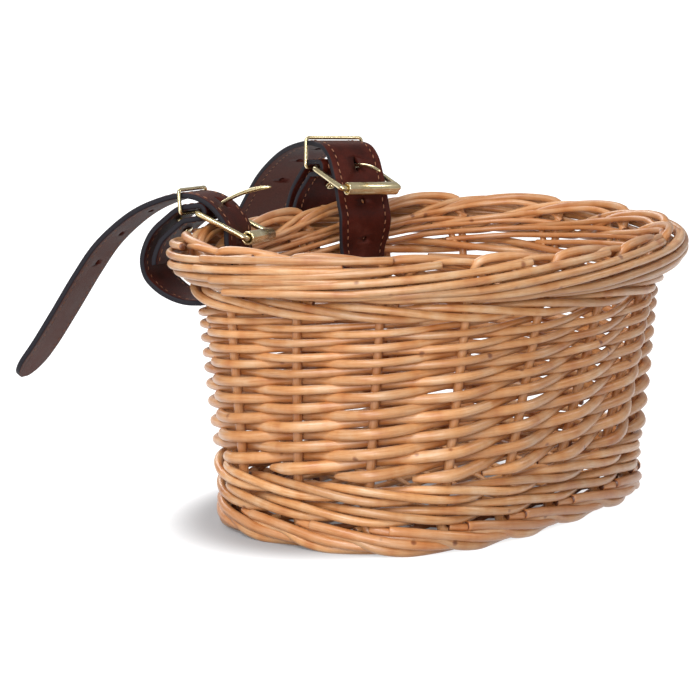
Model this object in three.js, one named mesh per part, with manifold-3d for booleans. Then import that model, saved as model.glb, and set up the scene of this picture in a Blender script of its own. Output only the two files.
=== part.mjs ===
// A small wicker bicycle basket with two leather handlebar straps.
// Sizes are in millimetres and Z is up. The flat back faces +Y and the round front faces -Y.
// The origin lies on the ground, under the middle of the basket.
import * as THREE from 'three';
import { mergeVertices } from 'three/addons/utils/BufferGeometryUtils.js';
import Module from 'manifold-3d';

const wasm = await Module();
wasm.setup();

// Plan of the wall, a D of two half ovals, at the rim and at the foot. The wall flares outwards
// from the foot to the rim on every side but the back.
const footLevel = 12;
const rimLevel = 112;
const rimHalfWidth = 116.8;
const rimFrontDepth = 105.5;
const rimBackDepth = 68.2;
const rimFrontPower = 2.1;
const rimBackPower = 2.9;
const sideFlare = 11.3;
const frontFlare = 31.5;
const backFlare = -1.6;
const footHalfWidth = rimHalfWidth - sideFlare;
const footFrontDepth = rimFrontDepth - frontFlare;
const footBackDepth = rimBackDepth - backFlare;
const footSetForward = 7.4;
const footFrontPower = 2.9;
const footBackPower = 2.65;

// Upright stakes: their places along the wall are uneven, as hands set them
const stakePlaceShares = [0.073, 0.141, 0.224, 0.297, 0.371, 0.441, 0.497, 0.555,
  0.612, 0.667, 0.728, 0.796, 0.863, 0.931, 0.997];
const stakeFootDiameter = 4.4;
const stakeRimDiameter = 3.8;
const stakeTipDiameter = 3.2;
const rodGap = 0.35;
const shortestEdge = 0.06;

// Side weave: each rod starts in the next gap between stakes and climbs one course a stake
const weaveStart = 36.2;
const courseAtFoot = 4.95;
const courseAtRim = 2.85;
const lastCourse = 17;
const courseSlack = 0.45;
const weaverBend = 0.14;
const weaverLead = 0.45;

// Wales: three rods that run in front of two stakes and behind one
const footWaleRod = 3.7;
const footWaleRounds = 2;
const footWaleBottom = 13;
const rimWaleRod = 3.4;
const waleRiseShare = 0.65;
const waleOutShares = [0.349, 1.032, -0.302, 0.016];

// Rolled border of the rim and foot border, both made of the stakes' own ends
const borderRise = 20;
const borderReach = 13.2;
const footRise = 10.6;
const footReach = 5.4;

// Woven base: sticks along the basket and one rod that snakes across them
const baseStick = 3;
const baseSticks = 4;
const basePitchShare = 0.153;
const baseStickPitch = (footFrontDepth + footBackDepth) * basePitchShare;
const baseRod = 2.3;
const baseRodPitch = 10.4;
const baseMiddle = 10.4;
const baseRun = 0.82;
const baseStickReach = [[1.2, -1], [-0.6, 2], [1.5, -0.4], [1.2, 1.8]];

// Leather straps, each in a gap between two stakes. Each sits in its own way: its turn, frame drop
// and prong lift are in degrees, and its tail reaches, drops and ends at its own share.
const leftHeelHeight = 41;
const rightHeelHeight = 52;
const leftTailReach = 103.5;
const rightTailReach = 109;
const leftTailDrop = 91;
const rightTailDrop = 75;
const straps = [
  { side: 'left', place: 3.5, turn: 5, heelHeight: leftHeelHeight, frameDrop: 24, prongLift: 56,
    tailReach: leftTailReach, tailDrop: leftTailDrop, tailEnd: 0.95 },
  { side: 'right', place: 1.5, turn: -15, heelHeight: rightHeelHeight, frameDrop: 17, prongLift: 29,
    tailReach: rightTailReach, tailDrop: rightTailDrop, tailEnd: 0.81 },
];
const strapWidth = 30;
const strapThickness = 2.6;
const strapGap = 0.42;
const slotCourse = 16;
const strapReach = 38;
const flapLength = 44;
const rimHump = 1.0;
const weaveDip = 2.5;
const loopStep = 6.6;
const tailStep = 8.2;
const tipLengthShare = 0.45;
const tipShares = [0.35, 0.65, 0.85, 0.97];

// Brass buckle: wire frame, roller, prong and keeper, and the rivet that closes the strap's fold
const frameWire = 2.8;
const frameLength = 27;
const heelReach = 10;
const cornerRadius = 2.1;
const rollerDiameter = 6.4;
const wirePlay = 0.3;
const prongWire = 2;
const prongLength = 33;
const prongBend = 24;
const holeLength = 9;
const holeWidth = 3.2;
const holePitch = 19;
const spareHoles = [-2, -1, 2, 3, 4];
const keeperWire = 1.8;
const sideClearance = 0.6;
const keeperReach = 8;
const keeperTopReach = 19;
const rivetReach = 17;
const rivetHead = 6;
const rivetShank = 3;
const rivetBore = 1.8;
const rivetHeadThickness = 0.8;

// Facets
const rodSides = 5;
const weaverSides = 4;
const wireSides = 6;
const turnedSides = 10;
const slotSides = 8;
const holeSides = 6;

const willow = new THREE.MeshStandardMaterial({ color: 0xd9a56c, roughness: 0.62, metalness: 0 });
const willowPale = new THREE.MeshStandardMaterial({ color: 0xe6bd88, roughness: 0.6, metalness: 0 });
const leather = new THREE.MeshStandardMaterial({ color: 0x56281f, roughness: 0.5, metalness: 0 });
const brass = new THREE.MeshStandardMaterial({ color: 0xd8c07a, roughness: 0.25, metalness: 1 });

const stakeCount = stakePlaceShares.length;
const basket = new THREE.Group();

function addMesh(parent, name, geometry, material) {
  const mesh = new THREE.Mesh(geometry, material);
  mesh.name = name;
  parent.add(mesh);
  return mesh;
}

// The D plan as a closed table, read by the share of its length from +X towards +Y
function planOf(halfWidth, frontDepth, backDepth, frontPower, backPower, setForward) {
  const steps = 720;
  const points = [];
  for (let i = 0; i < steps; i += 1) {
    const angle = (2 * Math.PI * i) / steps;
    const back = Math.sin(angle) >= 0;
    const depth = back ? backDepth : frontDepth;
    const power = back ? backPower : frontPower;
    const across = Math.abs(Math.cos(angle) / halfWidth) ** power;
    const along = Math.abs(Math.sin(angle) / depth) ** power;
    const radius = (across + along) ** (-1 / power);
    points.push(new THREE.Vector2(radius * Math.cos(angle), radius * Math.sin(angle) - setForward));
  }
  const lengths = [0];
  for (let i = 0; i < steps; i += 1) {
    lengths.push(lengths[i] + points[i].distanceTo(points[(i + 1) % steps]));
  }
  return (share) => {
    const wanted = (share - Math.floor(share)) * lengths[steps];
    let low = 0;
    let high = steps;
    while (high - low > 1) {
      const middle = (low + high) >> 1;
      if (lengths[middle] <= wanted) low = middle;
      else high = middle;
    }
    const from = points[low];
    const to = points[(low + 1) % steps];
    const part = (wanted - lengths[low]) / (lengths[low + 1] - lengths[low]);
    const before = points[(low + steps - 3) % steps];
    const after = points[(low + 4) % steps];
    const run = after.clone().sub(before).normalize();
    return { at: from.clone().lerp(to, part), out: new THREE.Vector2(run.y, -run.x) };
  };
}

const footPlan = planOf(footHalfWidth, footFrontDepth, footBackDepth, footFrontPower, footBackPower,
  footSetForward);
const rimPlan = planOf(rimHalfWidth, rimFrontDepth, rimBackDepth, rimFrontPower, rimBackPower, 0);

// Share of the wall's length at a place counted in stakes, so 2.5 is midway from stake 2 to stake 3
function shareAt(place) {
  const turn = Math.floor(place / stakeCount);
  const local = place - turn * stakeCount;
  const index = Math.min(Math.floor(local), stakeCount - 1);
  const from = stakePlaceShares[index];
  const to = index + 1 < stakeCount ? stakePlaceShares[index + 1] : stakePlaceShares[0] + 1;
  return turn + from + (to - from) * (local - index);
}

// A point of the wall by place and height, moved outwards by an offset
function wallPoint(place, height, offset) {
  const share = shareAt(place);
  const low = footPlan(share);
  const high = rimPlan(share);
  const part = (height - footLevel) / (rimLevel - footLevel);
  const at = low.at.lerp(high.at, part);
  const out = low.out.lerp(high.out, part).normalize();
  return new THREE.Vector3(at.x + out.x * offset, at.y + out.y * offset, height);
}

function smooth(from, to, value) {
  const part = Math.min(Math.max((value - from) / (to - from), 0), 1);
  return part * part * (3 - 2 * part);
}

// Places from the nearest strap, along the wall
function awayFromStrap(place) {
  let nearest = stakeCount;
  for (const strap of straps) {
    const away = ((place - strap.place + stakeCount * 1.5) % stakeCount) - stakeCount / 2;
    if (Math.abs(away) < Math.abs(nearest)) nearest = away;
  }
  return nearest;
}

// How far a strap pushes the rods apart: full over its own gap, none two stakes away
function strapPush(place) {
  return 1 - smooth(0.75, 1.5, Math.abs(awayFromStrap(place)));
}

// A closed round rod through points, with a diameter at each point and flat cut ends
function rodGeometry(points, diameters, sides) {
  const positions = [];
  const triangles = [];
  const tangents = points.map((point, i) => {
    const next = points[Math.min(i + 1, points.length - 1)];
    const last = points[Math.max(i - 1, 0)];
    return next.clone().sub(last).normalize();
  });
  const level = new THREE.Vector3(0, 0, 1).cross(tangents[0]);
  let side = level.length() > 0.1 ? level.normalize() : new THREE.Vector3(1, 0, 0);
  points.forEach((point, i) => {
    if (i > 0) {
      const turn = new THREE.Quaternion().setFromUnitVectors(tangents[i - 1], tangents[i]);
      side = side.clone().applyQuaternion(turn).normalize();
    }
    const up = tangents[i].clone().cross(side);
    for (let k = 0; k < sides; k += 1) {
      const angle = (2 * Math.PI * (k + 0.5)) / sides - Math.PI / 2;
      const rim = side.clone().multiplyScalar(Math.cos(angle)).addScaledVector(up, Math.sin(angle));
      positions.push(point.clone().addScaledVector(rim, diameters[i] / 2));
    }
  });
  for (let i = 0; i + 1 < points.length; i += 1) {
    for (let k = 0; k < sides; k += 1) {
      const a = i * sides + k;
      const b = i * sides + ((k + 1) % sides);
      triangles.push(a, b, b + sides, a, b + sides, a + sides);
    }
  }
  const end = (points.length - 1) * sides;
  for (let k = 1; k + 1 < sides; k += 1) {
    triangles.push(0, k + 1, k, end, end + k, end + k + 1);
  }
  return geometryOf(positions, triangles);
}

function geometryOf(positions, triangles) {
  const geometry = new THREE.BufferGeometry();
  const numbers = positions.flatMap((p) => [p.x, p.y, p.z]);
  geometry.setAttribute('position', new THREE.Float32BufferAttribute(numbers, 3));
  geometry.setIndex(triangles);
  geometry.computeVertexNormals();
  return geometry;
}

// Solids for cutting
function solidOf(geometry) {
  const bare = geometry.clone();
  bare.deleteAttribute('normal');
  if (bare.getAttribute('uv')) bare.deleteAttribute('uv');
  const merged = mergeVertices(bare, 0.0001);
  return new wasm.Manifold(new wasm.Mesh({
    numProp: 3,
    vertProperties: new Float32Array(merged.getAttribute('position').array),
    triVerts: new Uint32Array(merged.index.array),
  }));
}

function geometryOfSolid(solid) {
  const mesh = solid.getMesh();
  const geometry = new THREE.BufferGeometry();
  geometry.setAttribute('position', new THREE.BufferAttribute(new Float32Array(mesh.vertProperties), 3));
  geometry.setIndex(new THREE.BufferAttribute(new Uint32Array(mesh.triVerts), 1));
  geometry.computeVertexNormals();
  return geometry;
}

// Stakes
function stakeDiameterAt(height) {
  const part = (height - footLevel) / (rimLevel - footLevel);
  return stakeFootDiameter + (stakeRimDiameter - stakeFootDiameter) * Math.min(Math.max(part, 0), 1);
}

// Side weave
function courseHeight(course) {
  const fall = ((courseAtRim - courseAtFoot) * course * course) / (2 * lastCourse);
  return weaveStart + courseAtFoot * course + fall;
}

function weaverDiameter(course) {
  return courseAtFoot + ((courseAtRim - courseAtFoot) * course) / lastCourse - courseSlack;
}

// The strap's slot parts the courses: rods above it lift and those below are pressed down
function weaverShift(place, course) {
  const courseAtSlot = course - awayFromStrap(place);
  const push = strapPush(place);
  if (courseAtSlot > slotCourse) return push * rimHump;
  return (-push * weaveDip * Math.max(courseAtSlot, 0)) / slotCourse;
}

function weaverGeometry(start) {
  const points = [];
  const diameters = [];
  const add = (course, offsetShare) => {
    const diameter = weaverDiameter(course);
    const place = start + course;
    const height = courseHeight(course) + weaverShift(place, course);
    const clear = (stakeDiameterAt(height) + diameter) / 2 + rodGap;
    points.push(wallPoint(place, height, offsetShare * clear));
    diameters.push(diameter);
  };
  add(-weaverLead, -0.2);
  for (let course = 0; course <= lastCourse; course += 1) {
    const side = course % 2 === 0 ? 1 : -1;
    add(course - weaverBend, side);
    add(course + weaverBend, side);
  }
  add(lastCourse + weaverLead, -0.9);
  return rodGeometry(points, diameters, weaverSides);
}

// One rod of a wale, which turns about the stakes once in every three
function waleRodGeometry(first, rod, middle, follow) {
  const clear = (stakeDiameterAt(middle) + rod) / 2 + rodGap;
  const half = waleRiseShare * (rod + rodGap);
  const cut = 0.08;
  const points = [];
  const add = (run) => {
    const angle = Math.PI / 3 - (2 * Math.PI * run) / 3;
    const outShare = waleOutShares.reduce((sum, share, k) => sum + share * Math.cos(k * angle), 0);
    const place = first + run;
    const lift = follow ? strapPush(place) * rimHump : 0;
    points.push(wallPoint(place, middle + half * Math.sin(angle) + lift, outShare * clear));
  };
  const start = 2;
  add(start + cut);
  for (let k = 1; k < 2 * stakeCount; k += 1) add(start + k / 2);
  add(start + stakeCount - cut);
  return rodGeometry(points, points.map(() => rod), weaverSides);
}

// The base stays inside the inner bulge of the foot wale
const footInset = stakeFootDiameter / 2 + footWaleRod + 2 * rodGap + baseRod / 2;
const footWaleHalf = waleRiseShare * (footWaleRod + rodGap) + footWaleRod / 2;
const rimWaleHalf = waleRiseShare * (rimWaleRod + rodGap) + rimWaleRod / 2;
const rimWaleMiddle = courseHeight(lastCourse) + weaverDiameter(lastCourse) / 2 + rodGap + rimWaleHalf;
const waleTop = rimWaleMiddle + rimWaleHalf;

// The stake's own ends make both borders. Each row gives the run along the wall in stakes,
// then the offset and the height as shares of the border's reach and rise.
const rimRunShares = [[0.03, 0.37, 0.92], [0.14, 0.38, 0.99], [0.5, 0.26, 1], [1, -0.01, 0.82],
  [1.25, -0.05, 0.62], [1.5, 0.06, 0.38], [1.75, 0.215, 0.18], [2, 0.395, 0.13], [2.5, 0.56, 0.15],
  [3, 0.71, 0.2], [3.5, 0.85, 0.27], [4, 0.95, 0.37], [5, 1, 0.59],
  [6, 0.88, 0.79], [6.6, 0.74, 0.9]];
const rimLeanShares = [[0.13, 0.4], [0.3, 0.78]];
const footRunShares = [[2.3, -0.26, 0], [1.85, 0.35, 0], [1.5, 0.9, 0], [1.15, 1, 0.2],
  [0.85, 0.9, 0.66], [0.5, 0.7, 0.7], [0.12, 0.26, 0.78]];

function stakeGeometry(index) {
  const points = [];
  const diameters = [];
  const footHeight = (stakeFootDiameter / 2) * Math.cos(Math.PI / rodSides);
  for (const [run, outShare, riseShare] of footRunShares) {
    const height = footHeight + riseShare * (footRise - footHeight);
    points.push(wallPoint(index + run, height, outShare * footReach));
    diameters.push(stakeFootDiameter);
  }
  points.push(wallPoint(index, footRise, 0));
  diameters.push(stakeFootDiameter);
  points.push(wallPoint(index, waleTop, 0));
  diameters.push(stakeDiameterAt(waleTop));
  for (const [outShare, riseShare] of rimLeanShares) {
    const lift = strapPush(index) * rimHump;
    points.push(wallPoint(index, waleTop + riseShare * borderRise + lift, outShare * borderReach));
    diameters.push(stakeRimDiameter);
  }
  const longest = rimRunShares[rimRunShares.length - 1][0];
  for (const [run, outShare, riseShare] of rimRunShares) {
    const lift = strapPush(index + run) * rimHump;
    points.push(wallPoint(index + run, waleTop + riseShare * borderRise + lift, outShare * borderReach));
    diameters.push(stakeRimDiameter + ((stakeTipDiameter - stakeRimDiameter) * run) / longest);
  }
  return rodGeometry(points, diameters, rodSides);
}

// How far the inside of the wall reaches from the middle, along X at a depth or along Y at a width
function baseEdge(alongX, cross, inset) {
  const steps = 360;
  let reach = [0, 0];
  for (let i = 0; i < steps; i += 1) {
    const from = wallPoint((stakeCount * i) / steps, baseMiddle, -inset);
    const to = wallPoint((stakeCount * (i + 1)) / steps, baseMiddle, -inset);
    const [a, b] = alongX ? [from.y - cross, to.y - cross] : [from.x - cross, to.x - cross];
    if (a * b > 0 || a === b) continue;
    const at = from.clone().lerp(to, a / (a - b));
    const value = alongX ? at.x : at.y;
    reach = [Math.min(reach[0], value), Math.max(reach[1], value)];
  }
  return reach;
}

function baseStickGeometry(index) {
  const depth = (index - (baseSticks - 1) / 2) * baseStickPitch - footSetForward;
  const [toLeft, toRight] = baseStickReach[index];
  const low = baseEdge(true, depth, -toLeft)[0];
  const high = baseEdge(true, depth, -toRight)[1];
  const points = [new THREE.Vector3(low, depth, baseMiddle), new THREE.Vector3(high, depth, baseMiddle)];
  return rodGeometry(points, [baseStick, baseStick], wireSides);
}

// The snake goes over and under the sticks, and turns round beyond the outermost ones
function baseWeaveGeometry() {
  const rise = (baseStick + baseRod) / 2 + rodGap;
  const runs = Math.floor((2 * footHalfWidth * baseRun) / baseRodPitch);
  const points = [];
  for (let run = 0; run < runs; run += 1) {
    const across = (run - (runs - 1) / 2) * baseRodPitch;
    const forward = run % 2 === 0;
    for (let k = 0; k < baseSticks; k += 1) {
      const index = forward ? k : baseSticks - 1 - k;
      const depth = (index - (baseSticks - 1) / 2) * baseStickPitch - footSetForward;
      const lift = (index + run) % 2 === 0 ? rise : -rise;
      points.push(new THREE.Vector3(across, depth, baseMiddle + lift));
    }
    if (run === runs - 1) break;
    const outward = forward ? 1 : -1;
    const edge = baseEdge(false, across + baseRodPitch / 2, footInset)[forward ? 1 : 0];
    points.push(new THREE.Vector3(across, edge - outward * baseRodPitch, baseMiddle));
    points.push(new THREE.Vector3(across + baseRodPitch, edge - outward * baseRodPitch, baseMiddle));
  }
  return rodGeometry(points, points.map(() => baseRod), weaverSides);
}

for (let i = 0; i < stakeCount; i += 1) {
  addMesh(basket, `stake_${String(i + 1).padStart(2, '0')}`, stakeGeometry(i), willow);
}
for (let i = 0; i < stakeCount; i += 1) {
  addMesh(basket, `side_weaver_${String(i + 1).padStart(2, '0')}`, weaverGeometry(i), willowPale);
}
for (let round = 0; round < footWaleRounds; round += 1) {
  const middle = footWaleBottom + footWaleHalf + round * (2 * footWaleHalf + rodGap);
  for (let i = 0; i < 3; i += 1) {
    const name = `foot_wale_${round + 1}_rod_${i + 1}`;
    addMesh(basket, name, waleRodGeometry(i + round, footWaleRod, middle, false), willowPale);
  }
}
for (let i = 0; i < 3; i += 1) {
  addMesh(basket, `rim_wale_rod_${i + 1}`, waleRodGeometry(i, rimWaleRod, rimWaleMiddle, true), willowPale);
}
for (let i = 0; i < baseSticks; i += 1) {
  addMesh(basket, `base_stick_${i + 1}`, baseStickGeometry(i), willow);
}
addMesh(basket, 'base_weave', baseWeaveGeometry(), willowPale);

// Straps. Their own frame has s pointing out through the wall, w along it and z up, with its
// origin in the middle of the slot. Above the weave a strap is turned about the upright.
const foldRadius = frameWire / 2 + rodGap + strapThickness / 2;
const foldAngle = 1.25;

function heelOf(strap) {
  return new THREE.Vector2(heelReach, strap.heelHeight);
}

function rollerOf(strap) {
  return turnedFrom(heelOf(strap), frameLength, Math.PI + THREE.MathUtils.degToRad(strap.frameDrop));
}

function slotOf(place) {
  const below = courseHeight(slotCourse - 0.5) + weaverDiameter(slotCourse - 0.5) / 2 - weaveDip;
  const above = courseHeight(slotCourse + 0.5) - weaverDiameter(slotCourse + 0.5) / 2 + rimHump;
  const reach = 0.25;
  const at = wallPoint(place, (below + above) / 2, 0);
  const run = wallPoint(place + reach, at.z, 0).sub(wallPoint(place - reach, at.z, 0));
  const climb = courseHeight(slotCourse + reach) - courseHeight(slotCourse - reach);
  return { at, facing: Math.atan2(-run.x, run.y), roll: Math.atan(climb / run.length()) };
}

// Turns a point of the strap's frame into the basket's, with a share of the strap's own turn
function placer(strap) {
  const slot = slotOf(strap.place);
  return (reach, across, height, turned) => {
    const facing = slot.facing + turned * THREE.MathUtils.degToRad(strap.turn);
    const point = new THREE.Vector3(reach, across, height);
    point.applyAxisAngle(new THREE.Vector3(1, 0, 0), slot.roll);
    point.applyAxisAngle(new THREE.Vector3(0, 0, 1), facing);
    return point.add(slot.at);
  };
}

// Evenly spaced points of a smooth curve through points of a plane
function curveThrough(points, step) {
  const flat = points.map((p) => new THREE.Vector3(p.x, p.y, 0));
  const curve = new THREE.CatmullRomCurve3(flat, false, 'centripetal');
  const count = Math.max(Math.round(curve.getLength() / step), 2);
  return curve.getSpacedPoints(count).map((p) => new THREE.Vector2(p.x, p.y));
}

function turnedFrom(centre, radius, angle) {
  return new THREE.Vector2(centre.x + radius * Math.cos(angle), centre.y + radius * Math.sin(angle));
}

// The outer loop from the slot to the heel bar, as shares of the strap's reach and heel height
const loopShares = [[0.245, -0.03], [0.42, -0.03], [0.605, 0.01], [0.795, 0.095], [0.945, 0.225],
  [0.995, 0.4], [0.966, 0.565], [0.868, 0.75], [0.69, 0.91], [0.513, 1.03]];
// The inner run from the slot over the fold to the crown, in the same shares
const innerShares = {
  left: [[-0.16, -0.01], [-0.222, 0.07], [-0.222, 0.31], [-0.14, 0.51], [-0.112, 0.68], [-0.095, 0.84],
    [0.01, 0.985], [0.135, 1.09], [0.316, 1.165], [0.534, 1.175]],
  right: [[-0.15, -0.01], [-0.222, 0.055], [-0.226, 0.27], [-0.29, 0.447], [-0.308, 0.563],
    [-0.242, 0.69], [-0.153, 0.864], [-0.074, 0.98], [0.026, 1.107], [0.184, 1.196], [0.368, 1.22],
    [0.54, 1.22]],
};
// The tail from its crown to its tip, as shares of its reach and drop
const tailShares = [[0.316, -0.04], [0.41, -0.092], [0.505, -0.172], [0.603, -0.282], [0.7, -0.44],
  [0.8, -0.624], [0.903, -0.808], [0.942, -0.87]];

function strapLines(strap) {
  const heel = heelOf(strap);
  const rise = strap.heelHeight;
  const loop = loopShares.map(([s, z]) => new THREE.Vector2(s * strapReach, z * rise));
  const start = new THREE.Vector2(0, 0);
  const outer = curveThrough([start, ...loop, turnedFrom(heel, foldRadius, foldAngle)], loopStep);
  // The flap runs back inside the loop, and the rivet holds it at its distance
  const flap = [];
  let walked = 0;
  for (let i = outer.length - 1; i > 1; i -= 1) {
    const run = outer[i].clone().sub(outer[i - 1]);
    walked += run.length();
    if (walked > flapLength) break;
    const inward = new THREE.Vector2(-run.y, run.x).normalize();
    flap.push(outer[i - 1].clone().addScaledVector(inward, 2 * foldRadius));
  }
  const fold = [];
  const steps = 6;
  for (let k = 0; k <= steps; k += 1) {
    fold.push(turnedFrom(heel, foldRadius, foldAngle + ((2 * Math.PI - 2 * foldAngle) * k) / steps));
  }
  const inner = [new THREE.Vector2(0, 0)];
  for (const [s, z] of innerShares[strap.side]) inner.push(new THREE.Vector2(s * strapReach, z * rise));
  const crown = inner[inner.length - 1].y;
  for (const [s, z] of tailShares.filter(([reach]) => reach < strap.tailEnd)) {
    inner.push(new THREE.Vector2(s * strap.tailReach, crown + z * strap.tailDrop));
  }
  return { outer, flap, fold, tail: curveThrough(inner, tailStep) };
}

// Where a ray from a point crosses a line of points, with the line's direction there
function crossing(points, from, angle) {
  const ray = new THREE.Vector2(Math.cos(angle), Math.sin(angle));
  for (let i = 0; i + 1 < points.length; i += 1) {
    const a = points[i].clone().sub(from);
    const b = points[i + 1].clone().sub(from);
    const sideA = a.cross(ray);
    const sideB = b.cross(ray);
    if (sideA * sideB > 0) continue;
    const at = points[i].clone().lerp(points[i + 1], sideA / (sideA - sideB));
    if (at.clone().sub(from).dot(ray) <= 0) continue;
    return { at, run: b.sub(a).normalize(), index: i };
  }
  throw new Error('the prong misses the strap');
}

// The point a distance along a line of points, from the crossing at one of its segments
function along(points, index, start, distance) {
  const step = Math.sign(distance);
  let left = Math.abs(distance);
  let at = start.clone();
  let next = step > 0 ? index + 1 : index;
  while (next >= 0 && next < points.length) {
    const length = points[next].distanceTo(at);
    if (length >= left) {
      const run = points[next].clone().sub(at).normalize();
      return { at: at.clone().addScaledVector(run, left), run };
    }
    left -= length;
    at = points[next].clone();
    next += step;
  }
  throw new Error('the strap is too short for this hole');
}

// A flat band with a width at each point, square to its own line
function bandGeometry(points, widths, turns, place) {
  const positions = [];
  const triangles = [];
  points.forEach((point, i) => {
    const next = points[Math.min(i + 1, points.length - 1)];
    const last = points[Math.max(i - 1, 0)];
    const run = next.clone().sub(last).normalize();
    const up = new THREE.Vector2(-run.y, run.x).multiplyScalar(strapThickness / 2);
    for (const [high, across] of [[1, 1], [1, -1], [-1, -1], [-1, 1]]) {
      const corner = point.clone().addScaledVector(up, high);
      positions.push(place(corner.x, (across * widths[i]) / 2, corner.y, turns[i]));
    }
  });
  const corners = 4;
  for (let i = 0; i + 1 < points.length; i += 1) {
    for (let k = 0; k < corners; k += 1) {
      const a = i * corners + k;
      const b = i * corners + ((k + 1) % corners);
      triangles.push(a, b, b + corners, a, b + corners, a + corners);
    }
  }
  const end = (points.length - 1) * corners;
  triangles.push(0, 2, 1, 0, 3, 2, end, end + 1, end + 2, end, end + 2, end + 3);
  return geometryOf(positions, triangles);
}

// A turned piece on an axis. Each profile row is a radius and a distance along the axis.
function turnedGeometry(profile, sides, axisPoint, closed) {
  const positions = [];
  const triangles = [];
  const rings = profile.map(([radius, distance]) => {
    const first = positions.length;
    const count = radius > 0 ? sides : 1;
    for (let k = 0; k < count; k += 1) positions.push(axisPoint(radius, (2 * Math.PI * k) / sides, distance));
    return { first, count };
  });
  const joins = closed ? rings.length : rings.length - 1;
  for (let i = 0; i < joins; i += 1) {
    const a = rings[i];
    const b = rings[(i + 1) % rings.length];
    for (let k = 0; k < sides; k += 1) {
      const n = (k + 1) % sides;
      if (a.count > 1) triangles.push(a.first + n, a.first + k, b.first + (b.count > 1 ? k : 0));
      if (b.count > 1) triangles.push(b.first + n, a.first + (a.count > 1 ? n : 0), b.first + k);
    }
  }
  return geometryOf(positions, triangles);
}

// Axis points of the strap's frame: about w, or about the normal of a piece of its line
function aboutAcross(place, centre, turned) {
  return (radius, angle, distance) => place(centre.x + radius * Math.cos(angle), distance,
    centre.y + radius * Math.sin(angle), turned);
}

function aboutNormal(place, centre, run, stretch, turned) {
  const normal = new THREE.Vector2(-run.y, run.x);
  return (radius, angle, distance) => {
    const at = centre.clone().addScaledVector(normal, distance);
    at.addScaledVector(run, radius * Math.sin(angle) * stretch);
    return place(at.x, radius * Math.cos(angle), at.y, turned);
  };
}

function cutterOf(radius, half, sides, axisPoint) {
  const profile = [[0, -half], [radius, -half], [radius, half], [0, half]];
  return solidOf(turnedGeometry(profile, sides, axisPoint, false));
}

function turnAt(strap, height) {
  return smooth(strap.heelHeight * 0.1, strap.heelHeight * 0.56, height);
}

function prongAngleOf(strap) {
  return Math.PI - THREE.MathUtils.degToRad(strap.prongLift - strap.frameDrop);
}

function prongHoleOf(strap, lines) {
  return crossing(lines.tail, heelOf(strap), prongAngleOf(strap));
}

function strapGeometry(strap, lines, place) {
  const { outer, flap, fold, tail } = lines;
  const looped = [...flap.slice().reverse(), ...fold.slice().reverse(), ...outer.slice(1, -1).reverse()];
  const points = [...looped, ...tail];
  const passed = looped.length + tail.findIndex((p) => p.y > strap.heelHeight * 0.6);
  const turns = points.map((p, i) => (i > passed ? 1 : turnAt(strap, p.y)));
  const widths = points.map(() => strapWidth);
  // Rounded tip
  const tip = strapWidth * tipLengthShare;
  const lastRun = points[points.length - 1].clone().sub(points[points.length - 2]).normalize();
  for (const part of tipShares) {
    points.push(tail[tail.length - 1].clone().addScaledVector(lastRun, part * tip));
    widths.push(strapWidth * Math.sqrt(1 - part * part));
    turns.push(1);
  }
  let solid = solidOf(bandGeometry(points, widths, turns, place));
  // The slit in the fold for the prong, the hole it passes through, and the spare holes
  const slit = foldRadius + strapThickness / 2 + wirePlay;
  const slitHalf = prongWire / 2 + wirePlay + rodGap;
  solid = solid.subtract(cutterOf(slit, slitHalf, slotSides, aboutAcross(place, heelOf(strap), 1)));
  const { at, run, index } = prongHoleOf(strap, lines);
  const across = holeWidth / 2;
  const aboutHole = aboutNormal(place, at, run, holeLength / holeWidth, 1);
  solid = solid.subtract(cutterOf(across, strapThickness, slotSides, aboutHole));
  for (const count of spareHoles) {
    const hole = along(tail, index, at, count * holePitch);
    const turned = count < -1 ? turnAt(strap, hole.at.y) : 1;
    const aboutSpare = aboutNormal(place, hole.at, hole.run, 1, turned);
    solid = solid.subtract(cutterOf(across, strapThickness, holeSides, aboutSpare));
  }
  const rivet = along(outer, outer.length - 2, outer[outer.length - 1], -rivetReach);
  const clear = rivetShank / 2 + 2 * wirePlay;
  const depth = strapThickness + 2 * foldRadius;
  const aboutRivet = aboutNormal(place, rivet.at, rivet.run, 1, turnAt(strap, rivet.at.y));
  solid = solid.subtract(cutterOf(clear, depth, holeSides, aboutRivet));
  return geometryOfSolid(solid.simplify(shortestEdge));
}

// A closed wire loop through points of a plane, given as reach, across and height
function wireLoopGeometry(points, diameter, place) {
  const placed = points.map((p) => place(p.x, p.y, p.z, 1));
  const count = placed.length;
  const across = placed[Math.floor(count / 2)].clone().sub(placed[0]);
  const normal = placed[1].clone().sub(placed[0]).cross(across).normalize();
  const positions = [];
  const triangles = [];
  placed.forEach((point, i) => {
    const run = placed[(i + 1) % count].clone().sub(placed[(i + count - 1) % count]).normalize();
    const outward = run.clone().cross(normal);
    for (let k = 0; k < wireSides; k += 1) {
      const angle = (2 * Math.PI * k) / wireSides;
      const rim = outward.clone().multiplyScalar(Math.cos(angle)).addScaledVector(normal, Math.sin(angle));
      positions.push(point.clone().addScaledVector(rim, diameter / 2));
    }
  });
  for (let i = 0; i < count; i += 1) {
    for (let k = 0; k < wireSides; k += 1) {
      const n = (k + 1) % wireSides;
      const [a, b] = [i * wireSides + k, i * wireSides + n];
      const [c, d] = [((i + 1) % count) * wireSides + n, ((i + 1) % count) * wireSides + k];
      triangles.push(a, c, b, a, d, c);
    }
  }
  return geometryOf(positions, triangles);
}

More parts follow.
